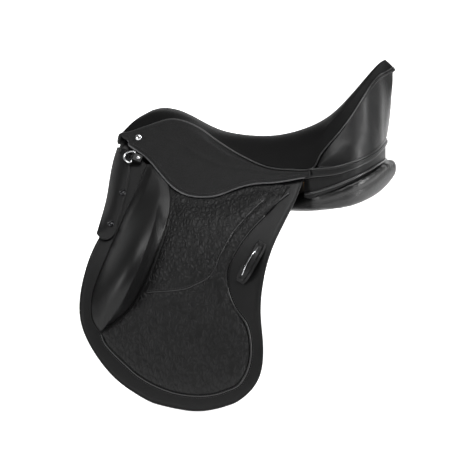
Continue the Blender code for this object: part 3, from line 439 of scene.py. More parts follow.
def curve(points, step=3.0):
    """A smooth line through points, with a point every step millimetres."""
    points = np.asarray(points, float)
    padded = np.concatenate([[2 * points[0] - points[1]], points, [2 * points[-1] - points[-2]]])
    run = []
    for k in range(len(points) - 1):
        p0, p1, p2, p3 = padded[k : k + 4]
        t = np.linspace(0, 1, 9)[:-1, None]
        square = 2 * p0 - 5 * p1 + 4 * p2 - p3
        cube = 3 * p1 - p0 - 3 * p2 + p3
        run.append(0.5 * (2 * p1 + (p2 - p0) * t + square * t**2 + cube * t**3))
    fine = np.concatenate(run + [points[-1:]])
    return resample(fine, max(2, int(round(lengths_along(fine)[-1] / (step * MM)))) + 1)


def closed_curve(loop, step=3.0):
    return curve(np.concatenate([loop, loop[:1]]), step)


def surface(thing):
    """A lookup on a piece's surface."""
    shape = bmesh.new()
    shape.from_mesh(thing.data)
    tree = BVHTree.FromBMesh(shape)
    shape.free()
    return tree


def settle(line, tree, lift, reach=0.08):
    """Drops each point of a line on a surface, seen from the left, and lifts it by millimetres."""
    direction = Vector((0, 1, 0))
    out = []
    for p in line:
        hit, normal, _, _ = tree.ray_cast(Vector(p) - direction * reach, direction, reach * 2)
        if hit is None:
            hit, normal, _, _ = tree.find_nearest(Vector(p))
        if normal.y > 0:
            normal = -normal
        out.append(hit + normal * lift * MM)
    return np.array(out)


def shifted(line, inward, towards):
    """A line moved sideways in the plane of X and Z, to the side on which towards lies."""
    run = np.gradient(line, axis=0)
    side = np.stack([-run[:, 2], np.zeros(len(line)), run[:, 0]], axis=1)
    side /= np.linalg.norm(side, axis=1)[:, None] + 1e-12
    side *= np.sign(np.sum(side * (np.array(towards) * MM - line), axis=1))[:, None]
    return line + side * inward * MM


def on_box(low, high, shares, y):
    """Places given as shares of a box's length and height, in metres."""
    (x0, _, z0), (x1, _, z1) = low, high
    return np.array([(x0 + (x1 - x0) * u, y, z0 + (z1 - z0) * v) for u, v in shares]) * MM


# %% [markdown]
# A welt is a strip of leather sewn round a cord, so it is a tube pressed into the seam. Stitches are
# separate short threads that dip into the hide at both ends. A dashed texture would be cheaper but
# lies flat and loses its highlights.


# %% tools for welts and stitches
def tube(name, line, radius, look, slot="smooth_leather", sides=8, closed=False):
    """A round cord along a line. Its ends are drawn in, so that they sink into the seam."""
    line = np.asarray(line, float)
    run = np.gradient(line, axis=0)
    if closed:
        run = np.roll(line, -1, axis=0) - np.roll(line, 1, axis=0)
    run /= np.linalg.norm(run, axis=1)[:, None] + 1e-12
    guide = np.array([0.0, 1.0, 0.0]) if abs(run[:, 1]).max() < 0.9 else np.array([0.0, 0.0, 1.0])
    across = np.cross(run, guide)
    across /= np.linalg.norm(across, axis=1)[:, None] + 1e-12
    up = np.cross(run, across)
    turn = np.linspace(0, 2 * math.pi, sides, endpoint=False)[None, :, None]
    size = np.full(len(line), radius * MM)
    if not closed:
        size[0] = size[-1] = radius * MM * 0.35
    circle = across[:, None] * np.cos(turn) + up[:, None] * np.sin(turn)
    rings = line[:, None] + size[:, None, None] * circle
    faces = []
    count = len(line)
    for i in range(count if closed else count - 1):
        j = (i + 1) % count
        for k in range(sides):
            m = (k + 1) % sides
            faces.append((i * sides + k, i * sides + m, j * sides + m, j * sides + k))
    if not closed:
        faces += [tuple(range(sides))[::-1], tuple(range((count - 1) * sides, count * sides))]
    mesh = bpy.data.meshes.new(name)
    mesh.from_pydata(rings.reshape(-1, 3), [], faces)
    mesh.update()
    return finish_mesh(name, mesh, [look], ROOT, slot)


THREAD_RADIUS = 0.42
# Along one stitch: how far, how thick and how high. Both ends are thin and dip into the hide.
STITCH_SHAPE = ((0.0, 0.3, -0.5), (0.25, 1.0, 0.35), (0.75, 1.0, 0.35), (1.0, 0.3, -0.5))


def stitches(name, line, body=ROOT, slot="smooth_leather", length=3.0, gap=1.2):
    """Short threads along a line that already lies on the surface."""
    line = curve(line, length + gap)
    points, faces = [], []
    for a, b in zip(line[:-1], line[1:]):
        run = (b - a) / (np.linalg.norm(b - a) + 1e-12)
        across = np.cross(run, [0.0, 1.0, 0.0])
        if np.linalg.norm(across) < 0.2:
            across = np.cross(run, [0.0, 0.0, 1.0])
        across /= np.linalg.norm(across)
        up = np.cross(run, across)
        up = up if up[1] * (a[1] if abs(a[1]) > 1e-6 else -1) > 0 else -up
        base = len(points)
        for share, width, lift in STITCH_SHAPE:
            middle = a + run * length * MM * share + up * lift * THREAD_RADIUS * MM
            for k in range(6):
                round_it = across * math.cos(k * math.pi / 3) + up * math.sin(k * math.pi / 3)
                points.append(middle + width * THREAD_RADIUS * MM * round_it)
        for ring in range(base, base + 18, 6):
            for k in range(6):
                m = (k + 1) % 6
                faces.append((ring + k, ring + m, ring + 6 + m, ring + 6 + k))
        faces += [tuple(base + k for k in range(6))[::-1], tuple(base + 18 + k for k in range(6))]
    mesh = bpy.data.meshes.new(name)
    mesh.from_pydata([tuple(p) for p in points], [], faces)
    mesh.update()
    return finish_mesh(name, mesh, [thread], body, slot)


def distances(points, line):
    """How far each point is from a line, in millimetres."""
    near = KDTree(len(line))
    for k, p in enumerate(line):
        near.insert(Vector(p), k)
    near.balance()
    return np.array([near.find(Vector(p))[2] for p in points]) / MM


def press(thing, line, depth, width):
    """Sinks a piece's surface by depth along a line, over a width, as a tight seam does."""
    points, normals = points_of(thing), normals_of(thing)
    far = distances(points, line) / width
    points -= normals * (depth * MM * np.exp(-far * far))[:, None]
    put_points(thing, points)


left_made = []


def left(thing):
    """Marks a left-hand piece to be made again for the right."""
    left_made.append(thing)
    return thing


# %% [markdown]
# ## Stuffing
#
# The panel and the thigh block are covers round flock or foam. Their swelling is simulated: the part
# is made a cloth and blown up by a small pressure with no gravity. The panel is first meshed again
# evenly. Pushing the points out along their normals would swell flat and curved places alike; a
# pressed cloth crowns in the middle of each face and stays tight along its edges. The swelling is
# capped, so the pad still fits the parts round it.

# %% stuffing by cloth simulation
CLOTH_STEPS = 20


def blow_up(thing, pressure, stiffness):
    cloth = thing.modifiers.new("Cloth", "CLOTH")
    settings = cloth.settings
    settings.use_pressure, settings.uniform_pressure_force = True, pressure
    settings.mass = 0.3
    settings.tension_stiffness = settings.compression_stiffness = stiffness * 4
    settings.shear_stiffness, settings.bending_stiffness = stiffness * 3, stiffness * 0.5
    settings.air_damping = 3.0
    settings.effector_weights.gravity = 0.0
    cloth.point_cache.frame_start, cloth.point_cache.frame_end = 1, CLOTH_STEPS
    for number in range(1, CLOTH_STEPS + 1):
        bpy.context.scene.frame_set(number)
    apply_modifiers(thing)
    bpy.context.scene.frame_set(1)


def stuffed(thing, voxel, most, rim=None):
    """Swells a piece by up to most millimetres. A rim is held where it is sewn down."""
    if voxel:
        remesh = thing.modifiers.new("Remesh", "REMESH")
        remesh.mode, remesh.voxel_size = "VOXEL", voxel * MM
        apply_modifiers(thing)
        soften = thing.modifiers.new("Smooth", "SMOOTH")
        soften.factor, soften.iterations = 0.5, 6
        apply_modifiers(thing)
    start = points_of(thing)
    blow_up(thing, pressure=4.0, stiffness=4.0)
    moved = points_of(thing) - start
    moved -= moved.mean(axis=0)
    far = np.linalg.norm(moved, axis=1)
    moved *= (most * MM * np.tanh(far / (most * MM)) / (far + 1e-9))[:, None]
    if rim is not None:
        moved *= np.clip((distances(start, rim) - 3.0) / 12.0, 0, 1)[:, None]
    put_points(thing, start + moved)
    print(f"{thing.name} swelled by up to {far.max() / MM:.1f} mm, held to {most} mm")
    subdivide(thing, 1)
    thing.data.shade_smooth()


# %% [markdown]
# ## Seat
#
# The seat is one soft calf hide stretched over latex foam, pulled down at both sides and sewn to the
# skirts and to the cantle's back with a welt between. A thicker cord behind the welt closes the seam.
# At the pommel the hide folds over the head of the tree and its edge is bound.

# %% the seat and its welts
seat = smooth_copy("seat_cover", [seat_calf], "smooth_leather", 0.5, 2, name="seat")
seat_rim = rim_loop("seat_cover", 2.0, (0, 0, 1))
seat_high = box_of("seat_cover")[1]
lip = seat_rim[seat_rim[:, 0].argsort()][:26]
lip_side = lip[lip[:, 1] < -0.03]
corner = lip_side[lip_side[:, 2].argmin()] / MM
top_corner = np.array([seat_high[0], -16, seat_high[2] - 14])
side_seam = curve(stretch(seat_rim, corner, top_corner), 4)
crest = seat_rim[(seat_rim[:, 0] > (seat_high[0] - 4) * MM) & (np.abs(seat_rim[:, 1]) < 13 * MM)]
crest = crest[crest[:, 1].argsort()]
whole = curve(np.concatenate([side_seam[:-1], crest, (side_seam * OTHER_SIDE)[-2::-1]]), 4)
tube("seat_welt", whole, 1.2, piping_highlit_hide)
inside_seat = np.array([60, 0, 40]) * MM
tube("seat_seam_backing", whole + (inside_seat - whole) * [0.0, 0.04, 0.02], 3.4, calf)
binding_line = curve(stretch(seat_rim, corner, corner * OTHER_SIDE), 3)
tube("pommel_binding", binding_line, 2.6, calf, sides=10)
print("the seat's welt is", round(len(whole) * 4), "mm long")

foam = smooth_copy("seat_foam", [latex], "seat_foam", 2.0, 2, name="seat_foam_pad")

# %% [markdown]
# The gap under the bound edge, between the head of the tree and the front straps, is closed by a
# facing: a narrow apron of calf that follows the arch and then turns back under it.

# %% facing under the pommel
arch = binding_line[1:-1]
facing_rows = []
for share in np.linspace(0, 1, 9):
    row = arch.copy()
    row[:, 0] += (1.5 - 4.5 * share) * MM
    row[:, 1] *= 1 + 0.22 * share
    row[:, 2] -= (1.0 + 16.0 * share) * MM
    facing_rows.append(row)
for share in np.linspace(0, 1, 7)[1:]:
    facing_rows.append(facing_rows[8] + np.array([36.0 * share, 0.0, -3.0 * share]) * MM)
strip("pommel_facing", np.array(facing_rows), 2.0)
print("facing under", len(arch), "points of the arch")

# %% [markdown]
# ## Cantle and rear gussets
#
# The cantle's back is a single calf panel pulled round the tree, so it shows faint upright pulls
# where it turns the corner. Below it a printed-leather gusset joins it to the panels, with a welt in
# each seam. The skirt runs on as a narrow tail along the gusset's top, and the gusset's lower edge
# turns in over the panel.

# %% cantle and gussets
cantle = smooth_copy("cantle_panel", [block_calf], "smooth_leather", 0.8, 3, thick=3.0, name="cantle_back")
points, normals = points_of(cantle), normals_of(cantle)
cantle_low, cantle_high = box_of("cantle_panel")
rise = (points[:, 2] / MM - cantle_low[2]) / (cantle_high[2] - cantle_low[2])
turn = np.arctan2(points[:, 1], points[:, 0] - 0.10)
pulls = np.sin(turn * 26 + 2 * np.sin(rise * 5)) * np.sin(math.pi * np.clip(rise, 0, 1)) ** 1.5
points += normals * (0.35 * MM * pulls)[:, None]
put_points(cantle, points)

left(smooth_copy("rear_gusset_left", [printed, highlit_cut_edge], "grained_leather", 0.8, 2, thick=4.0,
                 name="gusset_left"))
gusset_rim = rim_loop("rear_gusset_left", 4.0, (1, -1, 0))
g_low, g_high = box_of("rear_gusset_left")
upper_run = stretch(gusset_rim, (g_low[0], g_low[1] + 8, 70), (g_high[0], -12, g_high[2]))
lower_run = stretch(gusset_rim, (g_low[0], g_low[1] + 8, 30), (g_high[0], -12, 93))
middle = np.array([100.0, 0.0, 60.0]) * MM


def outwards(line, millimetres, drop=0.0):
    """A line moved away from the middle of the seat, and down. drop may differ along the line."""
    away = line - middle
    away[:, 2] = 0
    away /= np.linalg.norm(away, axis=1)[:, None]
    moved = line + away * millimetres * MM
    moved[:, 2] -= np.asarray(drop) * MM
    return moved


upper_line, lower_line = curve(upper_run, 3), curve(lower_run, 3)
left(tube("cantle_welt_left", outwards(upper_line, 0.8, -1.5), 1.9, piping_highlit_hide))
taper = np.linspace(11.0, 5.0, len(upper_line))
tail_rows = np.array([outwards(upper_line, 2.2, taper * share) for share in np.linspace(0, 1, 5)])
left(strip("skirt_tail_left", tail_rows, 2.4))
left(tube("gusset_welt_left", tail_rows[-1] - np.array([0, 0, 0.5 * MM]), 1.4, piping_highlit_hide))
left(tube("panel_welt_left", outwards(lower_line, 1.0, 0.5), 2.2, piping_highlit_hide))
turn_rows = [outwards(lower_line, -1.0 - 5.0 * share, 10.0 * share) for share in np.linspace(0, 1, 4)]
left(strip("gusset_turn_left", np.array(turn_rows), 2.0))
left(stitches("gusset_stitches_left", outwards(upper_line, 0.9, 4.0 + taper), slot="grained_leather"))
print("gusset seams from", np.round(upper_run[0] / MM), "to", np.round(upper_run[-1] / MM))

# %% [markdown]
# ## Panels
#
# A wool-flocked panel is the fullest cushion on the saddle. Its hide is glazed, so it takes the
# brightest light, and a seam runs round its waist where the top and the bearing face are joined.

# %% panels
panel = smooth_copy("panel_left", [panel_hide], "panel_leather", 0, 1, name="flocked_panel_left")
stuffed(panel, voxel=5.0, most=3.5)
left(panel)
waist_places = [(60, 6), (100, 10), (140, 18), (180, 30), (215, 46), (245, 68), (260, 80)]
waist = curve(np.array([(x, -200.0, z) for x, z in waist_places]) * MM, 4)
waist = settle(waist, surface(panel), -0.2, reach=0.3)
press(panel, waist, 1.2, 5.0)
waist_thread = settle(waist + np.array([0, -0.05, 0]), surface(panel), 0.1, reach=0.3)
left(stitches("panel_stitches_left", waist_thread, slot="panel_leather", length=2.6))
print("waist seam", round(len(waist) * 4), "mm")

# %% [markdown]
# ## Flap
#
# The flap is one thick bull hide with a smooth margin. A crease line is run round the margin with a
# hot iron, and the cut edge is burnished, so it catches a thin line of light; its lighter colour adds
# a painted highlight to that line.

# %% flap and its margin
flap = left(smooth_copy("flap_left", [calf, highlit_cut_edge], "smooth_leather", 1.6, 3, name="flap_hide_left"))
flap_rim = rim_loop("flap_left")
flap_low, flap_high = box_of("flap_left")
flap_middle = (flap_low + flap_high) / 2
outer_run = stretch(flap_rim, (-200, -70, 60), (108, -130, 60), longer=True)
flap_skin = surface(flap)
crease = curve(shifted(curve(outer_run, 6), 5.0, flap_middle)[2:-3], 3)
press(flap, settle(crease, flap_skin, 0.0), 0.5, 1.6)
print("creased margin", round(len(crease) * 3), "mm")

# %% [markdown]
# ## Padded field
#
# The field on the flap is a second hide over thin felt. It crowns by about 2.6 mm, has the long
# shallow folds of a shrunken hide, and one seam swings across it. Its top edge runs on under the
# skirt, pressed thin there, so that the skirt lies flat.

# %% padded field
field = left(smooth_copy("flap_insert_left", [shrunken], "coarse_grained_leather", 0.8, 4,
                         name="padded_field_left"))
field_rim = rim_loop("flap_insert_left")
f_low, f_high = box_of("flap_insert_left")
points = points_of(field)
top_run = curve(stretch(field_rim, (f_low[0], -200, f_high[2]), (f_high[0], -130, f_high[2])), 3)
under_skirt = np.exp(-((distances(points, top_run) / 22.0) ** 2))


def flap_at(x, z):
    return flap_skin.ray_cast(Vector((x, -0.5, z)), Vector((0, 1, 0)), 1.0)[0]


for k in np.flatnonzero(under_skirt > 0.01):
    x, y, z = points[k]
    higher = z + 13.0 * MM * under_skirt[k]
    before, after = flap_at(x, z), flap_at(x, higher)
    if before and after:
        points[k] = x, after.y + (y - before.y) * (1 - 0.6 * under_skirt[k]), higher
put_points(field, points)

inward = distances(points, closed_curve(field_rim))
normals = normals_of(field)
outside = normals[:, 1] < -0.4
crown = (2.6 * (1 - np.exp(-inward / 14.0)) - 1.6 * np.exp(-inward / 3.0)) * (1 - under_skirt)


def folds(p):
    """Long shallow creases of a shrunken hide, running mostly down the flap."""
    spot = Vector((p[0] / 0.016, p[1] / 0.03, p[2] / 0.026))
    return noise.noise(spot) + 0.6 * noise.noise(spot * 2.3)


ridges = np.array([folds(p) if far > 6 else 0.0 for p, far in zip(points, inward)])
raised = (crown + 0.45 * ridges * np.clip(inward / 20, 0, 1)) * MM
points[outside] += normals[outside] * raised[outside][:, None]
put_points(field, points)

seam_shares = [(0.862, 0.95), (0.796, 0.894), (0.743, 0.842), (0.69, 0.783), (0.624, 0.674),
               (0.599, 0.613), (0.558, 0.566), (0.50, 0.537), (0.42, 0.51), (0.235, 0.496)]
inner_seam = settle(curve(on_box(f_low, f_high, seam_shares, -240), 3), surface(field), 0.0, reach=0.2)
press(field, inner_seam, 1.8, 4.5)
field_skin = surface(field)
seam_cord = settle(inner_seam, field_skin, 0.3, reach=0.05)
left(tube("field_seam_left", seam_cord, 1.0, piping_highlit_hide, "coarse_grained_leather", sides=6))
seam_thread = settle(shifted(inner_seam, 3.0, flap_middle), field_skin, 0.1, reach=0.05)
left(stitches("field_seam_stitches_left", seam_thread, slot="coarse_grained_leather"))
print("seam across the field", round(len(inner_seam) * 3), "mm")

# %% [markdown]
# The field is sewn to the flap with a raised welt and a row of stitches in the flap's margin.

# %% welt round the field
creased_flap = surface(flap)
field_edge = curve(stretch(field_rim, (f_high[0], -130, 32), (f_low[0], -235, -205), longer=True), 3)
welt_line = settle(shifted(field_edge, -1.6, flap_middle), creased_flap, 1.3, reach=0.06)
left(tube("field_welt_left", welt_line, 1.7, piping_highlit_hide))
margin_line = settle(shifted(field_edge, -5.2, flap_middle), creased_flap, 0.15, reach=0.06)
left(stitches("margin_stitches_left", margin_line))
print("welt round the padded field", round(len(field_edge) * 3), "mm")

# %% [markdown]
# ## Thigh block
#
# The block is soft calf lasted over a foam core, steep behind and rounded in front, and its cover is
# turned under and stitched down through the flap.

# %% thigh block
block = smooth_copy("thigh_block_left", [block_calf], "smooth_leather", 0.4, 2, name="knee_block_left")
block_middle = sum(box_of("thigh_block_left")) / 2
block_line = closed_curve(rim_loop("thigh_block_left"))
stuffed(block, voxel=None, most=2.5, rim=block_line)
left(block)
block_foot = settle(shifted(block_line, -0.8, block_middle), creased_flap, 0.4, reach=0.06)[:-1]
left(tube("block_seam_left", block_foot, 0.9, calf, closed=True))
print("seam round the thigh block", round(len(block_foot) * 3), "mm")

# %% [markdown]
# ## Skirt
#
# The skirt lifts to show the stirrup bar. On the frame it is a fixed strip and a hinged sheet, but
# on a saddle it is one piece of leather that bends. So it is one mesh here, from the seat's welt to
# its lower edge.
#
# Both parts are flat sheets, so each half-width is a straight function of x and z. A soft maximum of
# the two gives one surface with a small round bend between them.

# %% outline of the skirt
SKIRT_COLUMNS, SKIRT_LEVELS = 150, 40
top_loop, low_loop = rim_loop("skirt_top_left"), rim_loop("skirt_left")


def plane_of(loop):
    """Half-width as a straight function of x and z, from the loop's points."""
    table = np.column_stack([loop[:, 0], loop[:, 2], np.ones(len(loop))])
    return np.linalg.lstsq(table, -loop[:, 1], rcond=None)[0]


def half_width(plane, x, z):
    return plane[0] * x + plane[1] * z + plane[2]


top_plane, low_plane = plane_of(top_loop), plane_of(low_loop)
low_end, far_end = (low_loop[find(low_loop[:, 0])] for find in (np.argmin, np.argmax))
edge_run = curve(stretch(low_loop, low_end / MM, far_end / MM, longer=True), 5)
if edge_run[:, 2].min() > low_loop[:, 2].min() + 2 * MM:
    edge_run = curve(stretch(low_loop, low_end / MM, far_end / MM), 5)
past_lip = np.arange(len(side_seam)) > 3
seam_run = side_seam[(side_seam[:, 0] < 0.121) & (side_seam[:, 2] > 0.0) & past_lip]
seam_run = seam_run - np.array([0, 0, 1.5 * MM])
front_low = top_loop[top_loop[:, 0].argmin()]
rear_low = top_loop[(top_loop[:, 0] * 2 - top_loop[:, 2]).argmax()]
upper = resample(seam_run, SKIRT_COLUMNS)
lower = resample(curve(np.concatenate([[front_low], edge_run, [rear_low]]), 3), SKIRT_COLUMNS)
print("the skirt is", round((upper[-1, 0] - upper[0, 0]) / MM), "mm long under the seat's welt")

# %% [markdown]
# The sheet has a faint ridge where the hide is skived, its edge is rolled under, and its top follows
# the seat's seam. A bead of grey hide along the rolled edge is a painted highlight.

# %% skirt
shares = np.linspace(0, 1, SKIRT_LEVELS)[:, None]
plan = upper[None] + (lower - upper)[None] * shares[:, :, None]
x, z = plan[..., 0], plan[..., 2]
bend = 1.5 * MM
half = bend * np.logaddexp(half_width(top_plane, x, z) / bend, half_width(low_plane, x, z) / bend)
swell = np.sin(math.pi * np.linspace(0, 1, SKIRT_COLUMNS))[None] ** 0.5
ridge = np.exp(-(((shares - 0.36) / 0.035) ** 2)) * swell
from_edge = np.minimum(np.linalg.norm(plan - lower[None], axis=2), 1) / MM
roll = -1.4 * np.exp(-from_edge / 2.2) + 0.5 * np.exp(-(((from_edge - 7.0) / 3.0) ** 2))
half = half + (0.9 * ridge + roll) * MM
half = half + (-upper[None, :, 1] - 0.6 * MM - half[:1]) * np.exp(-((shares / 0.06) ** 2))
thick = 3.6 * MM - 1.2 * MM * np.exp(-from_edge / 2.2)
outer = np.stack([x, -half, z], axis=-1)
inner = np.stack([x, -(half - thick), z], axis=-1)

count = SKIRT_LEVELS * SKIRT_COLUMNS
sheet_faces = grid(SKIRT_LEVELS, SKIRT_COLUMNS)
faces = [face[::-1] for face in sheet_faces] + [tuple(k + count for k in face) for face in sheet_faces]
numbers = np.arange(count).reshape(SKIRT_LEVELS, SKIRT_COLUMNS)
sides = (numbers[0], numbers[1:, -1], numbers[-1, -2::-1], numbers[-2:0:-1, 0])
ring = np.concatenate(sides).tolist()
rim_start = len(faces)
faces += [(a, b, b + count, a + count) for a, b in zip(ring, ring[1:] + ring[:1])]
mesh = bpy.data.meshes.new("skirt_left")
mesh.from_pydata(np.concatenate([outer.reshape(-1, 3), inner.reshape(-1, 3)]), [], faces)
mesh.update()
for number in range(rim_start, len(faces)):
    mesh.polygons[number].material_index = 1
skirt = finish_mesh("skirt_hide_left", mesh, [printed, highlit_cut_edge], ROOT, "grained_leather",
                    "skirt_left", "skirt_top_left")
skirt_row = settle(shifted(lower[6:-6], 6.0, (-40, -90, 110)), surface(skirt), 0.12, reach=0.06)
skirt_stitches = stitches("skirt_stitches_left", skirt_row, slot="grained_leather")
# A grey bead along the skirt's lower edge: a painted highlight on the rolled edge.
skirt_highlight_line = outer[-1, 3:-3] + np.array([0, 1.4 * MM, 0])
skirt_highlight_bead = tube("skirt_bead_left", skirt_highlight_line, 1.7, grey_highlight_hide, "grained_leather")
print("skirt half-widths from", round(half.min() / MM), "to", round(half.max() / MM), "mm")

# %% [markdown]
# ## Front strap, D-ring and its fittings
#
# The front strap is doubled leather, bent a little along a crease and stitched along its rear edge.
# Its screws sit in cup washers. The D-ring is bent from steel wire and welded, so its section is round
# all along, and the chape that holds it is riveted on.

# %% front of the saddle
strap = left(smooth_copy("front_strap_left", [calf, highlit_cut_edge], "smooth_leather", 0.8, 2,
                         name="front_strap_piece_left"))
strap_rim = rim_loop("front_strap_left")
strap_low, strap_high = box_of("front_strap_left")
strap_middle = (strap_low + strap_high) / 2
strap_skin = surface(strap)
crease_shares = [(0.90, 0.93), (0.893, 0.82), (0.72, 0.62), (0.55, 0.44), (0.393, 0.276), (0.30, 0.16)]
strap_crease = curve(on_box(strap_low, strap_high, crease_shares, -300), 3)
strap_crease = settle(strap_crease, strap_skin, 0.0, reach=0.4)
points = points_of(strap)
ahead = np.interp(points[:, 2], strap_crease[::-1, 2], strap_crease[::-1, 0]) - points[:, 0]
points[:, 1] += np.clip(ahead * 0.22, 0, 5 * MM) * (points[:, 2] > strap_crease[-1, 2] - 0.01)
put_points(strap, points)
press(strap, strap_crease, 0.4, 1.8)
strap_rear = curve(stretch(strap_rim, (-192, -60, 107), (-208, -150, -27)), 3)
strap_thread = settle(shifted(strap_rear, 2.6, strap_middle), surface(strap), 0.1, reach=0.05)
left(stitches("strap_stitches_left", strap_thread, length=2.6))

turn = np.linspace(0, 2 * math.pi, 24, endpoint=False)
cup = 5.3 * MM * np.stack([np.cos(turn), np.zeros(24), np.sin(turn)], axis=1)
for place in ("upper", "lower"):
    screw = left(smooth_copy(f"flap_screw_{place}_left", [blackened], "black_screws", 0.3, 2,
                             name=f"screw_{place}_left"))
    cup_line = settle(points_of(screw).mean(axis=0) + cup, strap_skin, 0.4, reach=0.03)
    left(tube(f"screw_cup_{place}_left", cup_line, 0.7, blackened, "black_screws", sides=6, closed=True))

for node, look, slot, round_off, name in (
    ("crown_nail_left", polished, "bright_fittings", 0.3, "silver_nail_left"),
    ("d_ring_left", polished, "bright_fittings", 0, "d_ring_wire_left"),
    ("d_ring_chape_left", bridle, "bridle_leather", 0.5, "chape_left"),
    ("chape_rivet_left", polished, "bright_fittings", 0.25, "rivet_left"),
):
    left(smooth_copy(node, [look], slot, round_off, 2, name=name))
print(len(left_made), "left-hand pieces so far")

# %% [markdown]
# ## Keeper
#
# The keeper is a loop of flap leather that stands off the flap so that the stirrup leather's end
# slides through. Its face is sunk between two raised borders. A thin cord of polished steel along it
# is a painted highlight, standing in for the light on the leather's edge.

# %% keeper
keeper = left(smooth_copy("leather_keeper_left", [calf, highlit_cut_edge], "smooth_leather", 0.7, 3,
                          name="keeper_left"))
keeper_middle = sum(box_of("leather_keeper_left")) / 2 * MM
points, normals = points_of(keeper), normals_of(keeper)
inside = distances(points, closed_curve(rim_loop("leather_keeper_left"), 2))
out = normals[:, 1] < -0.5
border = 0.9 * np.exp(-(((inside - 3.4) / 1.8) ** 2))
sunk = 1.9 * np.clip((inside - 5.0) / 2.0, 0, 1)
points[out] += normals[out] * ((border - sunk) * MM)[out][:, None]
put_points(keeper, points)
long_way = np.array([math.cos(math.radians(60)), 0, math.sin(math.radians(60))])
wide_way = np.array([-long_way[2], 0, long_way[0]])
keeper_highlight_line = [keeper_middle + long_way * 27 * MM * t + wide_way * 5.6 * MM * math.cos(t * 1.2)
            for t in np.linspace(-1, 1, 40)]
keeper_highlight_line = settle(keeper_highlight_line, surface(keeper), 0.5, reach=0.06)
# A cord of polished steel along the leather keeper: a painted highlight for the light on its edge.
left(tube("keeper_lip_left", keeper_highlight_line, 0.9, polished, "bright_fittings"))
print("keeper at", np.round(keeper_middle / MM))

# %% [markdown]
# ## Girth straps and under-flap
#
# The girth straps hang between the flap and the padded under-flap, each with two rows of stitches.

# %% straps and under-flap
under = left(smooth_copy("under_flap_left", [panel_hide], "panel_leather", 2.5, 3,
                         name="under_flap_pad_left"))
for place in ("front", "rear"):
    body = f"girth_strap_{place}_left"
    girth = left(smooth_copy(body, [bridle, highlit_cut_edge], "bridle_leather", 0.6, 1,
                             name=f"girth_strap_{place}_piece_left"))
    rim = rim_loop(body)
    centre = (rim[:, 0].min() + rim[:, 0].max()) / 2
    down = np.linspace(rim[:, 2].min() + 0.018, rim[:, 2].max() - 0.008, 60)
    skin = surface(girth)
    for name, offset in (("a", -11.5), ("b", 11.5)):
        run = np.stack([np.full(60, centre + offset * MM), np.full(60, -0.2), down], axis=1)
        left(stitches(f"girth_{place}_stitches_{name}_left", settle(run, skin, 0.1, reach=0.3),
                      body, "bridle_leather", length=3.2, gap=1.6))
    left(smooth_copy(f"girth_web_{place}_left", [webbing], "webbing", 0.4, 2,
                     name=f"girth_web_{place}_piece_left"))
print(len(left_made), "left-hand pieces")

# %% [markdown]
# ## The right-hand side
#
# A saddle is symmetric, so each finished left-hand piece is reflected, which keeps both sides the
# same to the last stitch.


def reflected(thing):
    mesh = thing.data.copy()
    mesh.transform(Matrix.Scale(-1, 4, (0, 1, 0)))
    mesh.flip_normals()
    name = thing.name.replace("_left", "_right")
    mesh.name = name
    made = bpy.data.objects.new(name, mesh)
    bpy.context.scene.collection.objects.link(made)
    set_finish(made, thing["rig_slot"])
    hidden = [n.replace("_left", "_right") for n in thing.get("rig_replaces", [])]
    if hidden:
        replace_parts(made, *hidden)
    return made


for thing in left_made:
    made = reflected(thing)
    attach(made, thing["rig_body"].replace("_left", "_right"))
print(len(left_made), "pieces reflected")

# %% [markdown]
# The right-hand skirt, its stitches and its highlight bead are made here by reflection. Every skirt
# piece is then left without a parent, its placement baked into its points. The hinge's axis and the
# direction down the skirt are worked out, but no bend is laid on the sheet.

# %% the right-hand skirts, and every skirt left without a parent
joint = next(j for j in frame["joints"] if j["name"] == "skirt_left_lift")
axis = Vector(joint["axis"]).normalized()
down_skirt = axis.cross(Vector((low_plane[0], 1.0, low_plane[1]))).normalized()
if down_skirt.z > 0:
    down_skirt = -down_skirt
left_skirt = [skirt, skirt_stitches, skirt_highlight_bead]
for tag, side, pieces in (("left", -1, left_skirt), ("right", 1, [reflected(p) for p in left_skirt])):
    down = Vector((down_skirt.x, -side * down_skirt.y, down_skirt.z))
    for piece in pieces:
        piece.parent = None
        piece.matrix_world = Matrix.Identity(4)
        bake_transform(piece)

# %% [markdown]
# ## What stays as it is
#
# The tree, plates, springs and bars keep the frame's own shape. They get their materials and a
# rounded edge, because a sharp edge catches no light. The tree's sides are lined with calf, which
# shows in the narrow gaps between the flap and the gusset.

# %% inner parts
inner_looks = {
    "seat_webbing": (webbing, "webbing"),
    "saddle_tree": (beech, "laminated_beech"),
    "gullet_plate": (painted, "tree_steel"),
    "spring": (painted, "tree_steel"),
    "stirrup_bar": (forged, "forged_steel"),
    "safety_catch": (forged, "forged_steel"),
    "catch_pin": (polished, "forged_steel"),
}
for start, (look, slot_name) in inner_looks.items():
    for name, thing in nodes.items():
        if name.startswith(start) and not thing.hide_render:
            thing.data.materials.clear()
            thing.data.materials.append(look)
            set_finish(thing, slot_name)
            soften = thing.modifiers.new("Edge", "BEVEL")
            soften.width, soften.segments, soften.limit_method = 0.5 * MM, 2, "ANGLE"
tree_part = nodes["saddle_tree"]
tree_part.data.materials.append(calf)
for face in tree_part.data.polygons:
    face.material_index = int(abs(face.normal.y) > 0.02 or face.normal.x < -0.3)
print("frame parts still shown:", sorted(n for n, o in nodes.items() if not o.hide_render))

# %% [markdown]
# ## Floor and air
#
# The floor is pale and glows a little, and a sheet of lit white paper stands far behind, so the
# saddle stands in white air. The world's own light is weak, which keeps the leather black.

# %% floor and backdrop
FLOOR_GLOW, WORLD_LIGHT = 0.62, 0.22


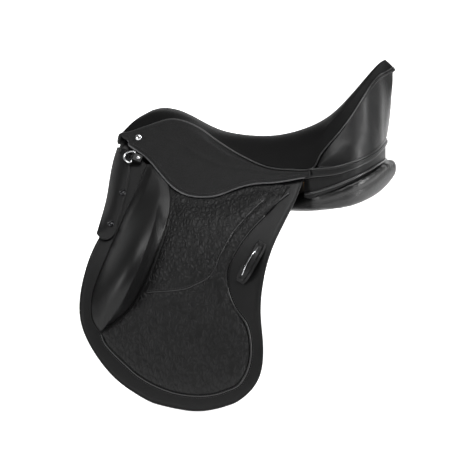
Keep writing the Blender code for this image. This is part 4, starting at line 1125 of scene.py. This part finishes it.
def stage_sheet(name, corners, look, height=0.0):
    mesh = bpy.data.meshes.new(name)
    mesh.from_pydata(corners, [], [(0, 1, 2, 3)])
    mesh.materials.append(look)
    made = bpy.data.objects.new(name, mesh)
    made.location.z = height
    bpy.context.scene.collection.objects.link(made)
    made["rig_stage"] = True


pale, tree, shader = blank("pale matt floor")
place = add(tree, "TexCoord").outputs["Object"]
mottle = add(tree, "TexNoise", {"Vector": place, "Scale": 3.0, "Detail": 3.0})
tones = {"Fac": mottle.outputs["Fac"], "Color1": srgb("#f4f4f4"), "Color2": srgb("#fafafa")}
fill(tree, shader, {
    "Base Color": add(tree, "MixRGB", tones).outputs[0], "Roughness": 0.9,
    "Emission Color": srgb("#ffffff"), "Emission Strength": FLOOR_GLOW,
})
white, tree, shader = blank("lit white paper")
fill(tree, shader, {
    "Base Color": srgb("#ffffff"), "Roughness": 1.0,
    "Emission Color": srgb("#ffffff"), "Emission Strength": 1.0,
})
floor_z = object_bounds()[0].z - 0.004
stage_sheet("floor", [(-9, -12, 0), (9, -12, 0), (9, 9, 0), (-9, 9, 0)], pale, floor_z)
stage_sheet("white_backdrop", [(-14, 9, -4), (14, 9, -4), (14, 9, 12), (-14, 9, 12)], white)

world = bpy.data.worlds.new("white studio")
bpy.context.scene.world = world
world.use_nodes = True
world.node_tree.nodes["Background"].inputs["Color"].default_value = (1, 1, 1, 1)
world.node_tree.nodes["Background"].inputs["Strength"].default_value = WORLD_LIGHT
print("floor at", round(floor_z / MM), "mm")

# %% [markdown]
# ## Light
#
# Black leather is drawn by what it reflects. One long soft light above gives the seat and block
# their broad sheen, a lower one at the front picks out the flap's grain, and a strip behind the
# cantle edges the panel.


# %% softboxes
def softbox(name, at, towards, size, power):
    lamp = bpy.data.lights.new(name, "AREA")
    lamp.shape, lamp.size, lamp.size_y, lamp.energy = "RECTANGLE", *size, power
    made = bpy.data.objects.new(name, lamp)
    made.location = at
    made.rotation_mode = "QUATERNION"
    made.rotation_quaternion = (Vector(towards) - Vector(at)).to_track_quat("-Z", "Y")
    bpy.context.scene.collection.objects.link(made)


softbox("top softbox", (0.3, -0.9, 2.0), (0, 0, 0), (1.6, 0.9), 30)
softbox("front softbox", (-2.0, -1.6, 0.7), (-0.1, -0.1, -0.05), (0.6, 1.4), 24)
softbox("rear strip", (1.9, -0.7, 0.6), (0.15, -0.1, 0.0), (0.3, 1.4), 34)
bpy.context.scene.view_settings.view_transform = "Standard"
print(len(bpy.data.lights), "lights")

# %% [markdown]
# ## Camera
#
# A long lens from far off, nearly level and square to the left side, as a saddle is shown in a
# catalogue. At 8.5 m, about where the near side lies, the view is 0.80 m wide.

# %% camera
SENSOR, DISTANCE, WIDTH_SEEN, TILT = 36, 8.5, 0.80, 0.95
camera = bpy.data.objects.new("camera", bpy.data.cameras.new("camera"))
camera.data.sensor_width = SENSOR
camera.data.lens = SENSOR * DISTANCE / WIDTH_SEEN
camera.data.clip_end = 60
camera.location = (-0.005, -8.6, 0.10)
camera.rotation_euler = (math.radians(90 - TILT), 0, 0)
bpy.context.scene.collection.objects.link(camera)
bpy.context.scene.camera = camera
print("lens", round(camera.data.lens), "mm")

# %% [markdown]
# ## Sizes
#
# The box round the dressed saddle is printed beside the frame's own box.

# %% sizes and the end
size_of_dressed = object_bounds()
sizes = {"frame": [list(c) for c in size_of_frame], "dressed": [list(c) for c in size_of_dressed]}
for name, corners in sizes.items():
    print(name, [[round(v / MM) for v in corner] for corner in corners])
